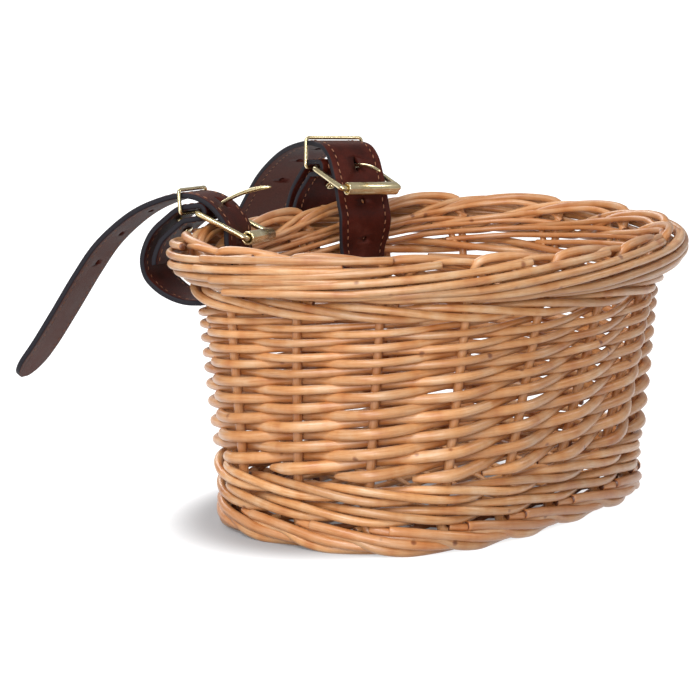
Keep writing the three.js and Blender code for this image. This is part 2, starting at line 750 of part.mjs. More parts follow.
// A rounded rectangle between two points of the plane, as wide as asked
function frameLoop(from, to, half, radius) {
  const run = to.clone().sub(from);
  const length = run.length();
  run.normalize();
  const points = [];
  const corners = [[radius, 1, 0], [radius, -1, -0.5], [length - radius, -1, -1], [length - radius, 1, -1.5]];
  const steps = 2;
  for (const [reach, side, quarter] of corners) {
    for (let k = 0; k <= steps; k += 1) {
      const angle = (quarter - (0.5 * k) / steps) * Math.PI;
      const at = from.clone().addScaledVector(run, reach + radius * Math.sin(angle));
      points.push(new THREE.Vector3(at.x, side * (half - radius) + radius * Math.cos(angle), at.y));
    }
  }
  return points;
}

function frameGeometry(strap, place) {
  const half = strapWidth / 2 + sideClearance + frameWire / 2;
  return wireLoopGeometry(frameLoop(heelOf(strap), rollerOf(strap), half, cornerRadius), frameWire, place);
}

function rollerGeometry(strap, place) {
  const inner = frameWire / 2 + wirePlay;
  const outer = rollerDiameter / 2;
  const half = strapWidth / 2 + sideClearance + frameWire / 2 - cornerRadius - wirePlay;
  const profile = [[inner, -half], [outer, -half], [outer, half], [inner, half]];
  return turnedGeometry(profile, turnedSides, aboutAcross(place, rollerOf(strap), 1), true);
}

// The prong: a wire coiled about the heel bar that runs out through the slit and bows to its tip
function prongGeometry(strap, place) {
  const heel = heelOf(strap);
  const angle = prongAngleOf(strap);
  const ring = frameWire / 2 + wirePlay + prongWire / 2;
  const points = [];
  const coil = [1.55, 2.2, 2.85, 3.5, 4.15, 4.8, 5.4, 5.85];
  for (const turned of coil) points.push(turnedFrom(heel, ring, angle + turned));
  points.push(turnedFrom(heel, ring * 1.35, angle - 0.22));
  const knee = turnedFrom(heel, ring * 2, angle);
  points.push(knee);
  const steps = 5;
  const run = (prongLength - 2 * ring) / steps;
  let at = knee;
  for (let i = 1; i <= steps; i += 1) {
    const bend = THREE.MathUtils.degToRad(prongBend) * (i / steps) ** 1.5;
    at = turnedFrom(at, run, angle + bend);
    points.push(at);
  }
  const placed = points.map((p) => place(p.x, 0, p.y, 1));
  return rodGeometry(placed, placed.map(() => prongWire), wireSides);
}

// The keeper: a wire loop whose lower bar lies inside the fold and whose upper bar holds the tail
function keeperGeometry(lines, place) {
  const { outer, tail } = lines;
  const low = along(outer, outer.length - 2, outer[outer.length - 1], -keeperReach);
  const under = (strapThickness + keeperWire) / 2 + strapGap;
  const from = low.at.clone().add(new THREE.Vector2(low.run.y, -low.run.x).multiplyScalar(under));
  const over = tail.findIndex((p) => p.x > keeperTopReach);
  const [a, b] = [tail[over - 1], tail[over]];
  const top = a.clone().lerp(b, (keeperTopReach - a.x) / (b.x - a.x));
  top.y += strapThickness / 2 + keeperWire / 2 + strapGap;
  const half = strapWidth / 2 + sideClearance + keeperWire / 2;
  return wireLoopGeometry(frameLoop(from, top, half, keeperWire), keeperWire, place);
}

// The rivet: a hollow shank through both layers, with a rolled head inside and a flat one outside
function rivetGeometry(strap, lines, place) {
  const { outer } = lines;
  const hold = along(outer, outer.length - 2, outer[outer.length - 1], -rivetReach);
  const near = strapThickness / 2 + wirePlay;
  const far = 2 * foldRadius + strapThickness / 2 + 2 * wirePlay;
  const [shank, head, bore] = [rivetShank / 2, rivetHead / 2, rivetBore / 2];
  const profile = [[0, 0], [bore, 0], [bore, -far - rivetHeadThickness], [head, -far - rivetHeadThickness],
    [head, -far], [shank, -far], [shank, near], [head, near], [head, near + rivetHeadThickness],
    [0, near + rivetHeadThickness]];
  const aboutHold = aboutNormal(place, hold.at, hold.run, 1, turnAt(strap, hold.at.y));
  return turnedGeometry(profile, turnedSides, aboutHold, false);
}

for (const strap of straps) {
  const place = placer(strap);
  const lines = strapLines(strap);
  addMesh(basket, `${strap.side}_strap`, strapGeometry(strap, lines, place), leather);
  addMesh(basket, `${strap.side}_buckle_frame`, frameGeometry(strap, place), brass);
  addMesh(basket, `${strap.side}_buckle_roller`, rollerGeometry(strap, place), brass);
  addMesh(basket, `${strap.side}_buckle_prong`, prongGeometry(strap, place), brass);
  addMesh(basket, `${strap.side}_strap_keeper`, keeperGeometry(lines, place), brass);
  addMesh(basket, `${strap.side}_strap_rivet`, rivetGeometry(strap, lines, place), brass);
}

export default basket;
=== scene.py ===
import random
from bisect import bisect_right
from math import atan, atan2, cos, floor, pi, radians, sin, sqrt

import bmesh
import bpy
from mathutils import Matrix, Vector


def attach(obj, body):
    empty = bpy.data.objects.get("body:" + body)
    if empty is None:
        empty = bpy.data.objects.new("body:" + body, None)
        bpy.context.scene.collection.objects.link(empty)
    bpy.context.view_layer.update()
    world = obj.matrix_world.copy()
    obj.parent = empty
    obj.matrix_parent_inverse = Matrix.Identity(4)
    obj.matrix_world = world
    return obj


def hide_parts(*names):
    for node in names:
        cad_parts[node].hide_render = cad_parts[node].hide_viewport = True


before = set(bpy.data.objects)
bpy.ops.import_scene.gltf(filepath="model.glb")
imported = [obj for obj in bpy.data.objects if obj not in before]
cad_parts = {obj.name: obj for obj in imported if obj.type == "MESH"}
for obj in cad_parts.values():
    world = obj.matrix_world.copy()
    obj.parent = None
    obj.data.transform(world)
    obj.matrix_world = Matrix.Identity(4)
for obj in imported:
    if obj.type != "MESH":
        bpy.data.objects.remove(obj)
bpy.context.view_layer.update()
mm = 0.001

# The basket's plan, as in the part: a D at the foot and a wider one at the rim

foot_level, rim_level = 12.0, 112.0
stake_shares = [
    0.073, 0.141, 0.224, 0.297, 0.371, 0.441, 0.497, 0.555, 0.612, 0.667, 0.728, 0.796, 0.863,
    0.931, 0.997,
]
stake_count = len(stake_shares)
stake_pitch = 36.5


def plan_of(half_width, front_depth, back_depth, front_power, back_power, set_forward):
    """The closed D as a table, read by the share of its length from +X towards +Y."""
    steps, blur = 720, 3
    points = []
    for i in range(steps):
        angle = 2 * pi * i / steps
        back = sin(angle) >= 0
        depth = back_depth if back else front_depth
        power = back_power if back else front_power
        radius = (abs(cos(angle) / half_width) ** power
                  + abs(sin(angle) / depth) ** power) ** (-1 / power)
        points.append(Vector((radius * cos(angle), radius * sin(angle) - set_forward)))
    lengths = [0.0]
    for i in range(steps):
        lengths.append(lengths[i] + (points[(i + 1) % steps] - points[i]).length)

    def read(share):
        wanted = (share - floor(share)) * lengths[steps]
        low = min(bisect_right(lengths, wanted), steps) - 1
        part = (wanted - lengths[low]) / (lengths[low + 1] - lengths[low])
        at = points[low].lerp(points[(low + 1) % steps], part)
        run = (points[(low + 1 + blur) % steps] - points[low - blur]).normalized()
        return at, Vector((run.y, -run.x))
    return read


foot_half_width, foot_set_forward = 105.5, 7.4
foot_plan = plan_of(foot_half_width, 74.0, 69.8, 2.9, 2.65, foot_set_forward)
rim_plan = plan_of(116.8, 105.5, 68.2, 2.1, 2.9, 0.0)


def share_at(place):
    """Share of the wall's length at a place counted in stakes."""
    turn = floor(place / stake_count)
    local = place - turn * stake_count
    index = min(int(local), stake_count - 1)
    start = stake_shares[index]
    end = stake_shares[index + 1] if index + 1 < stake_count else stake_shares[0] + 1
    return turn + start + (end - start) * (local - index)


def wall_point(place, height, offset):
    """A point of the wall by place and height, moved outwards by an offset."""
    share = share_at(place)
    low_at, low_out = foot_plan(share)
    high_at, high_out = rim_plan(share)
    part = (height - foot_level) / (rim_level - foot_level)
    at = low_at.lerp(high_at, part)
    out = low_out.lerp(high_out, part).normalized()
    return Vector((at.x + out.x * offset, at.y + out.y * offset, height))


def smooth(start, end, value):
    part = min(max((value - start) / (end - start), 0.0), 1.0)
    return part * part * (3 - 2 * part)


def smooth_line(controls, step):
    """Points of a smooth line through the controls, vectors of any size, close to a step apart."""
    line = []
    last = len(controls) - 1
    for i in range(last):
        before = controls[max(i - 1, 0)]
        start, end = controls[i], controls[i + 1]
        after = controls[min(i + 2, last)]
        gap = (Vector(end[:3]) - Vector(start[:3])).length
        first = max((Vector(start[:3]) - Vector(before[:3])).length, 1e-6)
        second = max((Vector(after[:3]) - Vector(end[:3])).length, 1e-6)
        span, a, b = gap ** 0.5, first ** 0.5, second ** 0.5
        size = range(len(start))
        leave = arrive = [end[k] - start[k] for k in size]
        if i > 0:
            leave = [span * ((start[k] - before[k]) / a - (end[k] - before[k]) / (a + span)
                             + (end[k] - start[k]) / span) for k in size]
        if i + 1 < last:
            arrive = [span * ((end[k] - start[k]) / span - (after[k] - start[k]) / (span + b)
                              + (after[k] - end[k]) / b) for k in size]
        count = max(round(gap / step), 1)
        for n in range(count):
            t = n / count
            h = (2 * t ** 3 - 3 * t ** 2 + 1, t ** 3 - 2 * t ** 2 + t,
                 -2 * t ** 3 + 3 * t ** 2, t ** 3 - t ** 2)
            line.append([h[0] * start[k] + h[1] * leave[k] + h[2] * end[k] + h[3] * arrive[k]
                         for k in size])
    line.append(list(controls[-1]))
    return line


def mark_layers(bm):
    """The values that a material reads along a piece. They are made before any vertex."""
    return {name: bm.verts.layers.float.get(name) or bm.verts.layers.float.new(name)
            for name in ("along", "tone", "painted_shade_and_cut_ends", "across", "around")}


def section_of(bm, sides, shape=lambda angle: (cos(angle), sin(angle))):
    """A ring of vertices for the start of a sweep, shaped by a function of the angle."""
    mark_layers(bm)
    ring = bmesh.ops.create_circle(bm, segments=sides, radius=1)["verts"]
    for v in ring:
        v.co.x, v.co.y = shape(atan2(v.co.y, v.co.x))
    return ring


def sized(width, depth=None):
    """The matrix that scales a section in its own plane."""
    return Matrix.Diagonal((width, width if depth is None else depth, 1, 1))


def sweep(bm, ring, places, marks=None, closed=False):
    """Extrudes the ring through the matrices of places, with each one's values for the marks."""
    layers = mark_layers(bm)

    def stamp(i):
        for name, value in (marks[i] if marks else {}).items():
            for v in ring:
                v[layers[name]] = value

    first_edges = edges = list({e for v in ring for e in v.link_edges})
    bmesh.ops.transform(bm, matrix=places[0], verts=ring)
    stamp(0)
    for i in range(1, len(places)):
        made = bmesh.ops.extrude_edge_only(bm, edges=edges)["geom"]
        ring = [g for g in made if isinstance(g, bmesh.types.BMVert)]
        fresh = set(ring)
        edges = [g for g in made if isinstance(g, bmesh.types.BMEdge)
                 and g.verts[0] in fresh and g.verts[1] in fresh]
        bmesh.ops.transform(bm, matrix=places[i] @ places[i - 1].inverted(), verts=ring)
        stamp(i)
    if closed:
        bmesh.ops.remove_doubles(bm, verts=bm.verts, dist=1e-6)
    else:
        bmesh.ops.contextual_create(bm, geom=first_edges)
        bmesh.ops.contextual_create(bm, geom=edges)
    bmesh.ops.recalc_face_normals(bm, faces=bm.faces)


def run_at(points, i):
    """The direction of a line at one of its points."""
    return (points[min(i + 1, len(points) - 1)] - points[max(i - 1, 0)]).normalized()


def upright_frames(points):
    """Matrices along a line whose section doesn't twist. Section x is sideways, y is up."""
    frames = []
    tangents = [run_at(points, i) for i in range(len(points))]
    side = Vector((0, 0, 1)).cross(tangents[0])
    if side.length < 0.1:
        side = Vector((1, 0, 0))
    side.normalize()
    for i, point in enumerate(points):
        if i:
            side.rotate(tangents[i - 1].rotation_difference(tangents[i]))
            side = (side - side.dot(tangents[i]) * tangents[i]).normalized()
        over = tangents[i].cross(side)
        turn = Matrix((side, over, tangents[i])).transposed().to_4x4()
        frames.append(Matrix.Translation(point) @ turn)
    return frames


def take_mesh(bm, name):
    """The shape as a mesh, with its bmesh freed."""
    mesh = bpy.data.meshes.new(name)
    bm.to_mesh(mesh)
    bm.free()
    return mesh


def add_object(name, data):
    made = bpy.data.objects.new(name, data)
    bpy.context.scene.collection.objects.link(made)
    return made


def finish_piece(bm, name, body, material, replaced=()):
    bmesh.ops.scale(bm, vec=(mm, mm, mm), verts=bm.verts)
    mesh = take_mesh(bm, name)
    mesh.materials.append(material)
    mesh.shade_smooth()
    piece = add_object(name, mesh)
    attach(piece, body)
    if replaced:
        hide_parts(*replaced)
    return piece


# Shorthand for the nodes of the finishes

def new_material(name):
    material = bpy.data.materials.new(name)
    material.use_nodes = True
    tree = material.node_tree
    return material, tree, tree.nodes["Principled BSDF"]


def plug(tree, socket, value):
    """Links a node's output into the input socket, or sets the socket to a constant."""
    if isinstance(value, bpy.types.NodeSocket):
        tree.links.new(value, socket)
    else:
        socket.default_value = (*value, 1) if socket.type == "RGBA" else value


def feed(tree, node, **inputs):
    """Plugs the node's inputs by name, with _ in place of a space."""
    for name, value in inputs.items():
        plug(tree, node.inputs[name.replace("_", " ")], value)
    return node


def add_node(tree, kind, **inputs):
    return feed(tree, tree.nodes.new("ShaderNode" + kind), **inputs)


def mark(tree, name):
    """The value of a mark layer."""
    node = add_node(tree, "Attribute")
    node.attribute_type = "GEOMETRY"
    node.attribute_name = name
    return node.outputs["Fac"]


def object_place(tree):
    return add_node(tree, "TexCoord").outputs["Object"]


def remap(tree, value, **ends):
    return add_node(tree, "MapRange", Value=value, **ends).outputs[0]


def noise(tree, vector, scale, detail=2.0, roughness=0.5):
    return add_node(tree, "TexNoise", Vector=vector, Scale=scale, Detail=detail,
                    Roughness=roughness).outputs["Fac"]


def bumped(tree, height, strength):
    return add_node(tree, "Bump", Height=height, Strength=strength, Distance=0.0003).outputs[0]


def ramp(tree, factor, *stops):
    """The colour that a value picks from stops of position and colour."""
    node = add_node(tree, "ValToRGB", Fac=factor)
    elements = node.color_ramp.elements
    elements.remove(elements[-1])
    elements[0].position = stops[0][0]
    elements[0].color = (*stops[0][1], 1)
    for position, colour in stops[1:]:
        elements.new(position).color = (*colour, 1)
    return node.outputs["Color"]


def mix(tree, factor, first, second, blend="MIX"):
    node = add_node(tree, "Mix")
    node.data_type = "RGBA"
    node.blend_type = blend
    for name, value in (("Factor", factor), ("A", first), ("B", second)):
        plug(tree, next(s for s in node.inputs if s.name == name and s.enabled), value)
    return next(s for s in node.outputs if s.enabled)


def maths(tree, operation, first, second=0.0, clamp=False):
    node = add_node(tree, "Math")
    node.operation = operation
    node.use_clamp = clamp
    plug(tree, node.inputs[0], first)
    plug(tree, node.inputs[1], second)
    return node.outputs[0]


def willow_finish(name, pale, tan, warm):
    """Peeled varnished willow: lengthwise fibres, patches, a few knots, painted shade where a rod
    goes behind another or into a border, and dark cut ends.
    """
    material, tree, shader = new_material(name)
    along, tone, painted_shade_and_cut_ends = [mark(tree, layer) for layer in ("along", "tone", "painted_shade_and_cut_ends")]
    place = object_place(tree)
    down_the_rod = add_node(tree, "CombineXYZ", X=along, Y=tone).outputs[0]
    round_the_rod = add_node(tree, "CombineXYZ", X=mark(tree, "across"), Y=mark(tree, "around"),
                             Z=maths(tree, "MULTIPLY", along, 0.035)).outputs[0]
    patches = noise(tree, down_the_rod, 0.055, 3.0, 0.55)
    speckle = noise(tree, place, 900.0, 3.0, 0.6)
    streaks = noise(tree, round_the_rod, 2.6, 4.0, 0.62)
    colour = ramp(tree, patches, (0.3, warm), (0.47, tan), (0.68, pale))
    shade = ramp(tree, tone, (0.0, (0.74, 0.7, 0.66)), (0.5, (0.93, 0.93, 0.93)),
                 (1.0, (1.02, 1.04, 1.06)))
    fine = ramp(tree, speckle, (0.3, (0.86, 0.8, 0.72)), (0.55, (1, 1, 1)),
                (0.8, (1.04, 1.03, 1.02)))
    fibres = ramp(tree, streaks, (0.34, (0.8, 0.65, 0.47)), (0.5, (0.98, 0.96, 0.94)),
                  (0.66, (1.02, 1.08, 1.16)))
    for share, layer in ((1.0, shade), (0.35, fine), (0.9, fibres)):
        colour = mix(tree, share, colour, layer, "MULTIPLY")
    # Painted shade: orange brown where a rod goes behind another or lies inside a border.
    colour = mix(tree, maths(tree, "MULTIPLY", painted_shade_and_cut_ends, 0.9, True), colour, (0.44, 0.12, 0.016))
    # Above 0.8 the mark turns nearly black brown: painted shade on the foot's filler rods, and the
    # dark of the cut ends.
    colour = mix(tree, remap(tree, painted_shade_and_cut_ends, From_Min=0.8), colour, (0.07, 0.016, 0.004))
    to_knot = add_node(tree, "TexVoronoi", Vector=place, Scale=62.0).outputs["Distance"]
    knots = ramp(tree, to_knot, (0.0, (0.14, 0.05, 0.02)), (0.06, (0.4, 0.22, 0.11)),
                 (0.105, (1, 1, 1)))
    colour = mix(tree, 0.85, colour, knots, "MULTIPLY")
    feed(tree, shader, Base_Color=colour, Normal=bumped(tree, streaks, 0.35),
         Roughness=remap(tree, streaks, To_Min=0.44, To_Max=0.58),
         Specular_IOR_Level=0.5, Coat_Weight=0.6, Coat_Roughness=0.32)
    return material


def leather_finish(name):
    """Dark red brown leather: fine grain, blackened edges, a seam groove, and a paler flesh side
    shown only on the tail's far part, which is partly painted light.
    """
    material, tree, shader = new_material(name)
    uv = add_node(tree, "UVMap")
    uv.uv_map = "strap"
    laid_flat = add_node(tree, "SeparateXYZ", Vector=uv.outputs[0])
    across = maths(tree, "ABSOLUTE", laid_flat.outputs["Y"])
    under = maths(tree, "LESS_THAN", mark(tree, "around"), -0.8)
    # The flesh side's paler colour shows only under the tail's far part, where light falls on it:
    # real flesh colour, partly painted light.
    flesh_where_lit = maths(tree, "MULTIPLY", under, mark(tree, "tone"))
    grain = noise(tree, object_place(tree), 1500.0, 4.0, 0.6)
    clouds = noise(tree, object_place(tree), 70.0, 4.0, 0.6)
    colour = ramp(tree, clouds, (0.3, (0.032, 0.004, 0.0018)), (0.55, (0.068, 0.0095, 0.0045)),
                  (0.75, (0.105, 0.024, 0.015)))
    fine = ramp(tree, grain, (0.3, (0.72, 0.7, 0.7)), (0.6, (1, 1, 1)),
                (0.8, (1.3, 1.25, 1.22)))
    colour = mix(tree, maths(tree, "MULTIPLY", flesh_where_lit, 0.6), colour, (0.13, 0.05, 0.036))
    colour = mix(tree, 1.0, colour, fine, "MULTIPLY")
    half = strap_width / 2
    edge = remap(tree, across, From_Min=half - 0.75, From_Max=half - 0.3)
    colour = mix(tree, edge, colour, (0.018, 0.0165, 0.021))
    from_seam = maths(tree, "ABSOLUTE", maths(tree, "SUBTRACT", across, half - seam_inset))
    groove = remap(tree, from_seam, From_Min=0.25, From_Max=0.7, To_Min=0.55)
    colour = mix(tree, 1.0, colour, groove, "MULTIPLY")
    relief = maths(tree, "ADD", grain, groove)
    feed(tree, shader, Base_Color=colour, Normal=bumped(tree, relief, 0.4),
         Roughness=remap(tree, clouds, To_Min=0.5, To_Max=0.68), Specular_IOR_Level=0.14)
    return material


def brass_finish(name):
    """Polished pale brass with faint wear."""
    material, tree, shader = new_material(name)
    clouds = noise(tree, object_place(tree), 140.0, 3.0, 0.6)
    colour = ramp(tree, clouds, (0.3, (0.62, 0.5, 0.27)), (0.6, (0.76, 0.65, 0.4)),
                  (0.8, (0.84, 0.76, 0.55)))
    wear = noise(tree, object_place(tree), 900.0)
    feed(tree, shader, Base_Color=colour, Roughness=remap(tree, wear, To_Min=0.17, To_Max=0.3),
         Metallic=1.0)
    return material


def thread_finish(name):
    """Waxed tan thread."""
    material, tree, shader = new_material(name)
    strands = noise(tree, object_place(tree), 2500.0)
    colour = ramp(tree, strands, (0.3, (0.2, 0.07, 0.03)), (0.7, (0.34, 0.14, 0.065)))
    feed(tree, shader, Base_Color=colour, Roughness=0.6)
    return material


strap_width, strap_thickness = 30.0, 2.6
seam_inset = 3.9

willows = {
    "willow_stake": willow_finish("stake_willow", (0.78, 0.505, 0.285), (0.71, 0.363, 0.147),
                                  (0.53, 0.19, 0.046)),
    "willow_weaver": willow_finish("weaver_willow", (0.775, 0.5, 0.285), (0.695, 0.343, 0.13),
                                   (0.525, 0.183, 0.042)),
}
strap_leather = leather_finish("strap_leather")
buckle_brass = brass_finish("buckle_brass")
seam_thread = thread_finish("seam_thread")

random.seed(7)

# Willow rods

# The third value sets how dark the cut ends are made, through the same mark as the painted shade.
cap_share, cap_rise, cut_end_dark = 0.42, 0.1, 0.97
tone_spread = 5


def willow_rod(name, slot_name, line, diameters, painted_shades, replaced=(), sides=12):
    """A round peeled rod along a line, slightly uneven, with its cut ends just rounded."""
    points = [Vector(p) for p in line]
    frames = upright_frames(points)
    tone = random.random()
    walked = random.uniform(0, 4000)
    uneven = [random.uniform(0, 2 * pi) for _ in range(3)]
    places, marks = [], []
    for i, place in enumerate(frames):
        if i:
            walked += (points[i] - points[i - 1]).length
        swell = (1 + 0.018 * sin(walked / 9 + uneven[0])
                 + 0.014 * sin(walked / 4.3 + uneven[1]))
        places.append(place @ sized(diameters[i] / 2 * swell))
        marks.append({"along": walked, "tone": tone, "painted_shade_and_cut_ends": painted_shades[i]})
    nub = Matrix.Translation((0, 0, diameters[0] * cap_rise))
    start = frames[0] @ nub.inverted() @ sized(diameters[0] * cap_share)
    end = frames[-1] @ nub @ sized(diameters[-1] * cap_share)
    places = [start, *places, end]
    marks = [{**marks[0], "painted_shade_and_cut_ends": cut_end_dark}, *marks, {**marks[-1], "painted_shade_and_cut_ends": cut_end_dark}]
    bm = bmesh.new()
    ring = section_of(bm, sides, lambda a: (cos(a) * (1 + 0.02 * cos(2 * a + uneven[2])),
                                            sin(a)))
    layers = mark_layers(bm)
    for v in ring:
        v[layers["across"]], v[layers["around"]] = v.co.x + tone_spread * tone, v.co.y
    sweep(bm, ring, places, marks)
    return finish_piece(bm, name, "basket", willows[slot_name], replaced)


rod_gap = 0.35
stake_foot, stake_rim, stake_tip = 4.4, 3.8, 3.2
weave_start, course_at_foot, course_at_rim, last_course, course_slack = 36.2, 4.95, 2.85, 17, 0.45
foot_wale_rod, rim_wale_rod = 3.7, 3.4
border_rise, border_reach, foot_rise, foot_reach = 20.0, 13.2, 10.6, 5.4
rim_hump, weave_dip, slot_course = 1.0, 2.5, 16
strap_places, strap_near, strap_far = (3.5, 1.5), 0.75, 1.5
wale_swing = 0.65


def away_from_strap(place):
    return min((((place - at + stake_count * 1.5) % stake_count) - stake_count / 2
                for at in strap_places), key=abs)


def strap_push(place):
    return 1 - smooth(strap_near, strap_far, abs(away_from_strap(place)))


def stake_diameter(height):
    part = (height - foot_level) / (rim_level - foot_level)
    return stake_foot + (stake_rim - stake_foot) * min(max(part, 0), 1)


def course_height(course):
    return (weave_start + course_at_foot * course
            + (course_at_rim - course_at_foot) * course * course / (2 * last_course))


def weaver_diameter(course):
    return course_at_foot + (course_at_rim - course_at_foot) * course / last_course - course_slack


def weaver_shift(place, course):
    at_slot = course - away_from_strap(place)
    push = strap_push(place)
    if at_slot > slot_course:
        return push * rim_hump
    return -push * weave_dip * max(at_slot, 0) / slot_course


def wall_line(controls, step):
    """The smooth rows through controls of run, height and offset, and their points on the wall."""
    rows = smooth_line(controls, step)
    return rows, [wall_point(r[0] / stake_pitch, r[1], r[2]) for r in rows]


def weaver(start):
    """A side weaver: in front of one stake and behind the next, one course up for each stake."""
    controls, lead, bend, sway = [], 0.45, 0.08, 0.0
    plump = random.uniform(0.94, 1.05)

    def add(course, offset_share):
        diameter = weaver_diameter(course)
        place = start + course
        height = course_height(course) + weaver_shift(place, course) + sway
        clear = (stake_diameter(height) + diameter) / 2 + rod_gap * 0.4
        full = (diameter + 1.0 - 0.3 * max(course, 0) / last_course) * plump
        taper = 0.55 if course < -bend or course > last_course + bend else 1
        controls.append((place * stake_pitch, height, offset_share * clear, full * taper, course))

    add(-lead, -0.2)
    for course in range(last_course + 1):
        side = 1 if course % 2 == 0 else -1
        sway = random.uniform(-0.3, 0.3)
        add(course - bend, side)
        add(course + bend, side)
    add(last_course + lead, -0.9)
    rows, line = wall_line(controls, 2.6)
    # Painted shade: a little all along, most where the weaver passes behind a stake.
    painted_shades = [0.12 + 0.3 * smooth(0.4, 0.95, abs((r[4] + 1) % 2 - 1)) for r in rows]
    willow_rod(f"willow_weaver_{start + 1:02d}", "willow_weaver", line, [r[3] for r in rows], painted_shades,
               [f"side_weaver_{start + 1:02d}"])


def wale_rod(wale, index, first, rod, middle, hump):
    """A rod of a wale: in front of two stakes and behind one, once round."""
    clear = (stake_diameter(middle) + rod) / 2 + rod_gap * 0.6
    half = wale_swing * (rod + rod_gap)
    line, painted_shades = [], []
    start, cut, steps = 2.0, 0.08, 15
    runs = [start + cut, *(start + k / steps for k in range(2, stake_count * steps - 1)),
            start + stake_count - cut]
    for run in runs:
        angle = pi / 3 - 2 * pi * run / 3
        out = (0.349 + 1.032 * cos(angle) - 0.302 * cos(2 * angle)
               + 0.016 * cos(3 * angle))
        place = first + index + run
        height = middle + half * sin(angle) + strap_push(place) * hump
        line.append(wall_point(place, height, out * clear))
        # Painted shade where the rod passes behind the stakes.
        painted_shades.append(0.55 * smooth(0.2, -0.9, out) if out < 0.2 else 0.0)
    willow_rod(f"willow_{wale}_{index + 1}", "willow_weaver", line, [rod + 0.25] * len(line), painted_shades,
               [f"{wale}_rod_{index + 1}"])


foot_wale_half = wale_swing * (foot_wale_rod + rod_gap) + foot_wale_rod / 2
rim_wale_half = wale_swing * (rim_wale_rod + rod_gap) + rim_wale_rod / 2
rim_wale_middle = (course_height(last_course) + weaver_diameter(last_course) / 2 + rod_gap
                   + rim_wale_half)
wale_top = rim_wale_middle + rim_wale_half

# The borders. A row is a run in stakes, a share of the border's reach and a share of its rise.
# A row of rim_leans has no run, because there the stake still stands in its own place.

rim_runs = [
    (0.03, 0.37, 0.92), (0.14, 0.38, 0.99), (0.5, 0.26, 1), (1, -0.01, 0.82), (1.25, -0.05, 0.62),
    (1.5, 0.06, 0.38), (1.75, 0.215, 0.18), (2, 0.395, 0.13), (2.5, 0.56, 0.15), (3, 0.71, 0.2),
    (3.5, 0.85, 0.27), (4, 0.95, 0.37), (5, 1, 0.59), (6, 0.88, 0.79), (6.6, 0.74, 0.9),
]
rim_leans = [(0.13, 0.4), (0.3, 0.78)]
foot_runs = [
    (2.3, -0.26, 0), (1.85, 0.35, 0), (1.5, 0.9, 0), (1.15, 1, 0.2), (0.85, 0.9, 0.66),
    (0.5, 0.7, 0.7), (0.12, 0.26, 0.78),
]


def stake(index):
    """An upright stake with its own ends: the foot border below and the rolled border above."""
    controls = []

    def add(run, height, offset, diameter, painted_shade):
        controls.append(((index + run) * stake_pitch, height, offset, diameter, painted_shade))

    foot_height = stake_foot / 2 * cos(pi / 5) + 0.25
    # The last value of each control is painted shade: darkest inside the foot, and darker where the
    # rim's runs lie inside.
    for run, out, rise in foot_runs:
        add(run, foot_height + rise * (foot_rise - foot_height), out * foot_reach, stake_foot,
            0.6 if out < 0 else 0.1)
    add(0, foot_rise, 0, stake_foot, 0.3)
    for part in (0.25, 0.5, 0.75, 1):
        height = foot_rise + part * (wale_top - foot_rise)
        add(0, height, 0, stake_diameter(height), 0.3)
    hump = strap_push(index) * rim_hump
    for out, rise in rim_leans:
        add(0, wale_top + rise * border_rise + hump, out * border_reach, stake_rim, 0.2)
    longest = rim_runs[-1][0]
    for run, out, rise in rim_runs:
        hump = strap_push(index + run) * rim_hump
        uneven = random.uniform(-0.7, 0.7) if run > 2 else 0
        add(run, wale_top + rise * border_rise + (hump + uneven), out * border_reach,
            stake_rim + (stake_tip - stake_rim) * run / longest,
            0.5 if out < 0.1 else (0.25 if out < 0.45 else 0.0))
    rows, line = wall_line(controls, 2.2)
    willow_rod(f"willow_stake_{index + 1:02d}", "willow_stake", line, [r[3] + 0.15 for r in rows],
               [min(max(r[4], 0), 1) for r in rows], [f"stake_{index + 1:02d}"])


rim_pairs = [
    (0.1, -0.16, -0.12), (0.2, 0.08, 0.4), (0.4, 0.27, 0.82), (0.65, 0.3, 0.93), (1.0, 0.2, 0.9),
    (1.35, 0.03, 0.72), (1.62, -0.02, 0.5), (1.85, 0.02, 0.3), (2.15, 0.2, 0.24),
    (2.6, 0.42, 0.38), (3.1, 0.6, 0.52), (3.6, 0.72, 0.62), (4.1, 0.72, 0.78), (4.5, 0.62, 0.9),
]
foot_pairs = [
    (0.06, 0.5, 1.12), (0.35, 0.82, 1.02), (0.7, 1.0, 0.98), (1.05, 1.05, 0.72), (1.4, 1.1, 0.42),
    (1.75, 0.8, 0.3), (2.1, 0.3, 0.25), (2.4, -0.1, 0.25),
]
foot_butts = [
    (0.3, 0.92, 1.12), (0.5, 0.98, 1.06), (0.8, 1.08, 0.9), (1.15, 1.1, 0.66), (1.5, 1.12, 0.42),
    (1.9, 0.95, 0.26), (2.3, 0.5, 0.2),
]
# The foot fillers are rods painted nearly black brown: painted shade in the gaps of the foot
# border.
foot_fillers_1 = [(-0.35, -0.78, 1.3), (0.15, -0.64, 1.05), (0.65, -0.62, 0.72), (1.2, -0.8, 0.42)]
foot_fillers_2 = [(-0.2, -0.95, 0.35), (0.3, -0.86, 0.7), (0.8, -0.86, 1.1), (1.15, -0.98, 1.35)]
ridge_pairs = [
    (-0.05, 0.12, 0.5), (0.12, 0.16, 0.74), (0.4, 0.1, 0.88), (0.8, -0.02, 0.82),
    (1.2, -0.13, 0.68), (1.6, -0.15, 0.54), (2.0, -0.14, 0.42), (2.35, -0.02, 0.3),
]
inner_laps = [
    (-0.1, 0.12, 0.42), (0.2, -0.1, 0.47), (0.6, -0.12, 0.42), (1.0, -0.15, 0.34),
    (1.5, -0.18, 0.25), (2.0, -0.21, 0.16), (2.5, -0.235, 0.08), (2.9, -0.25, 0.0),
    (3.2, -0.1, -0.06),
]

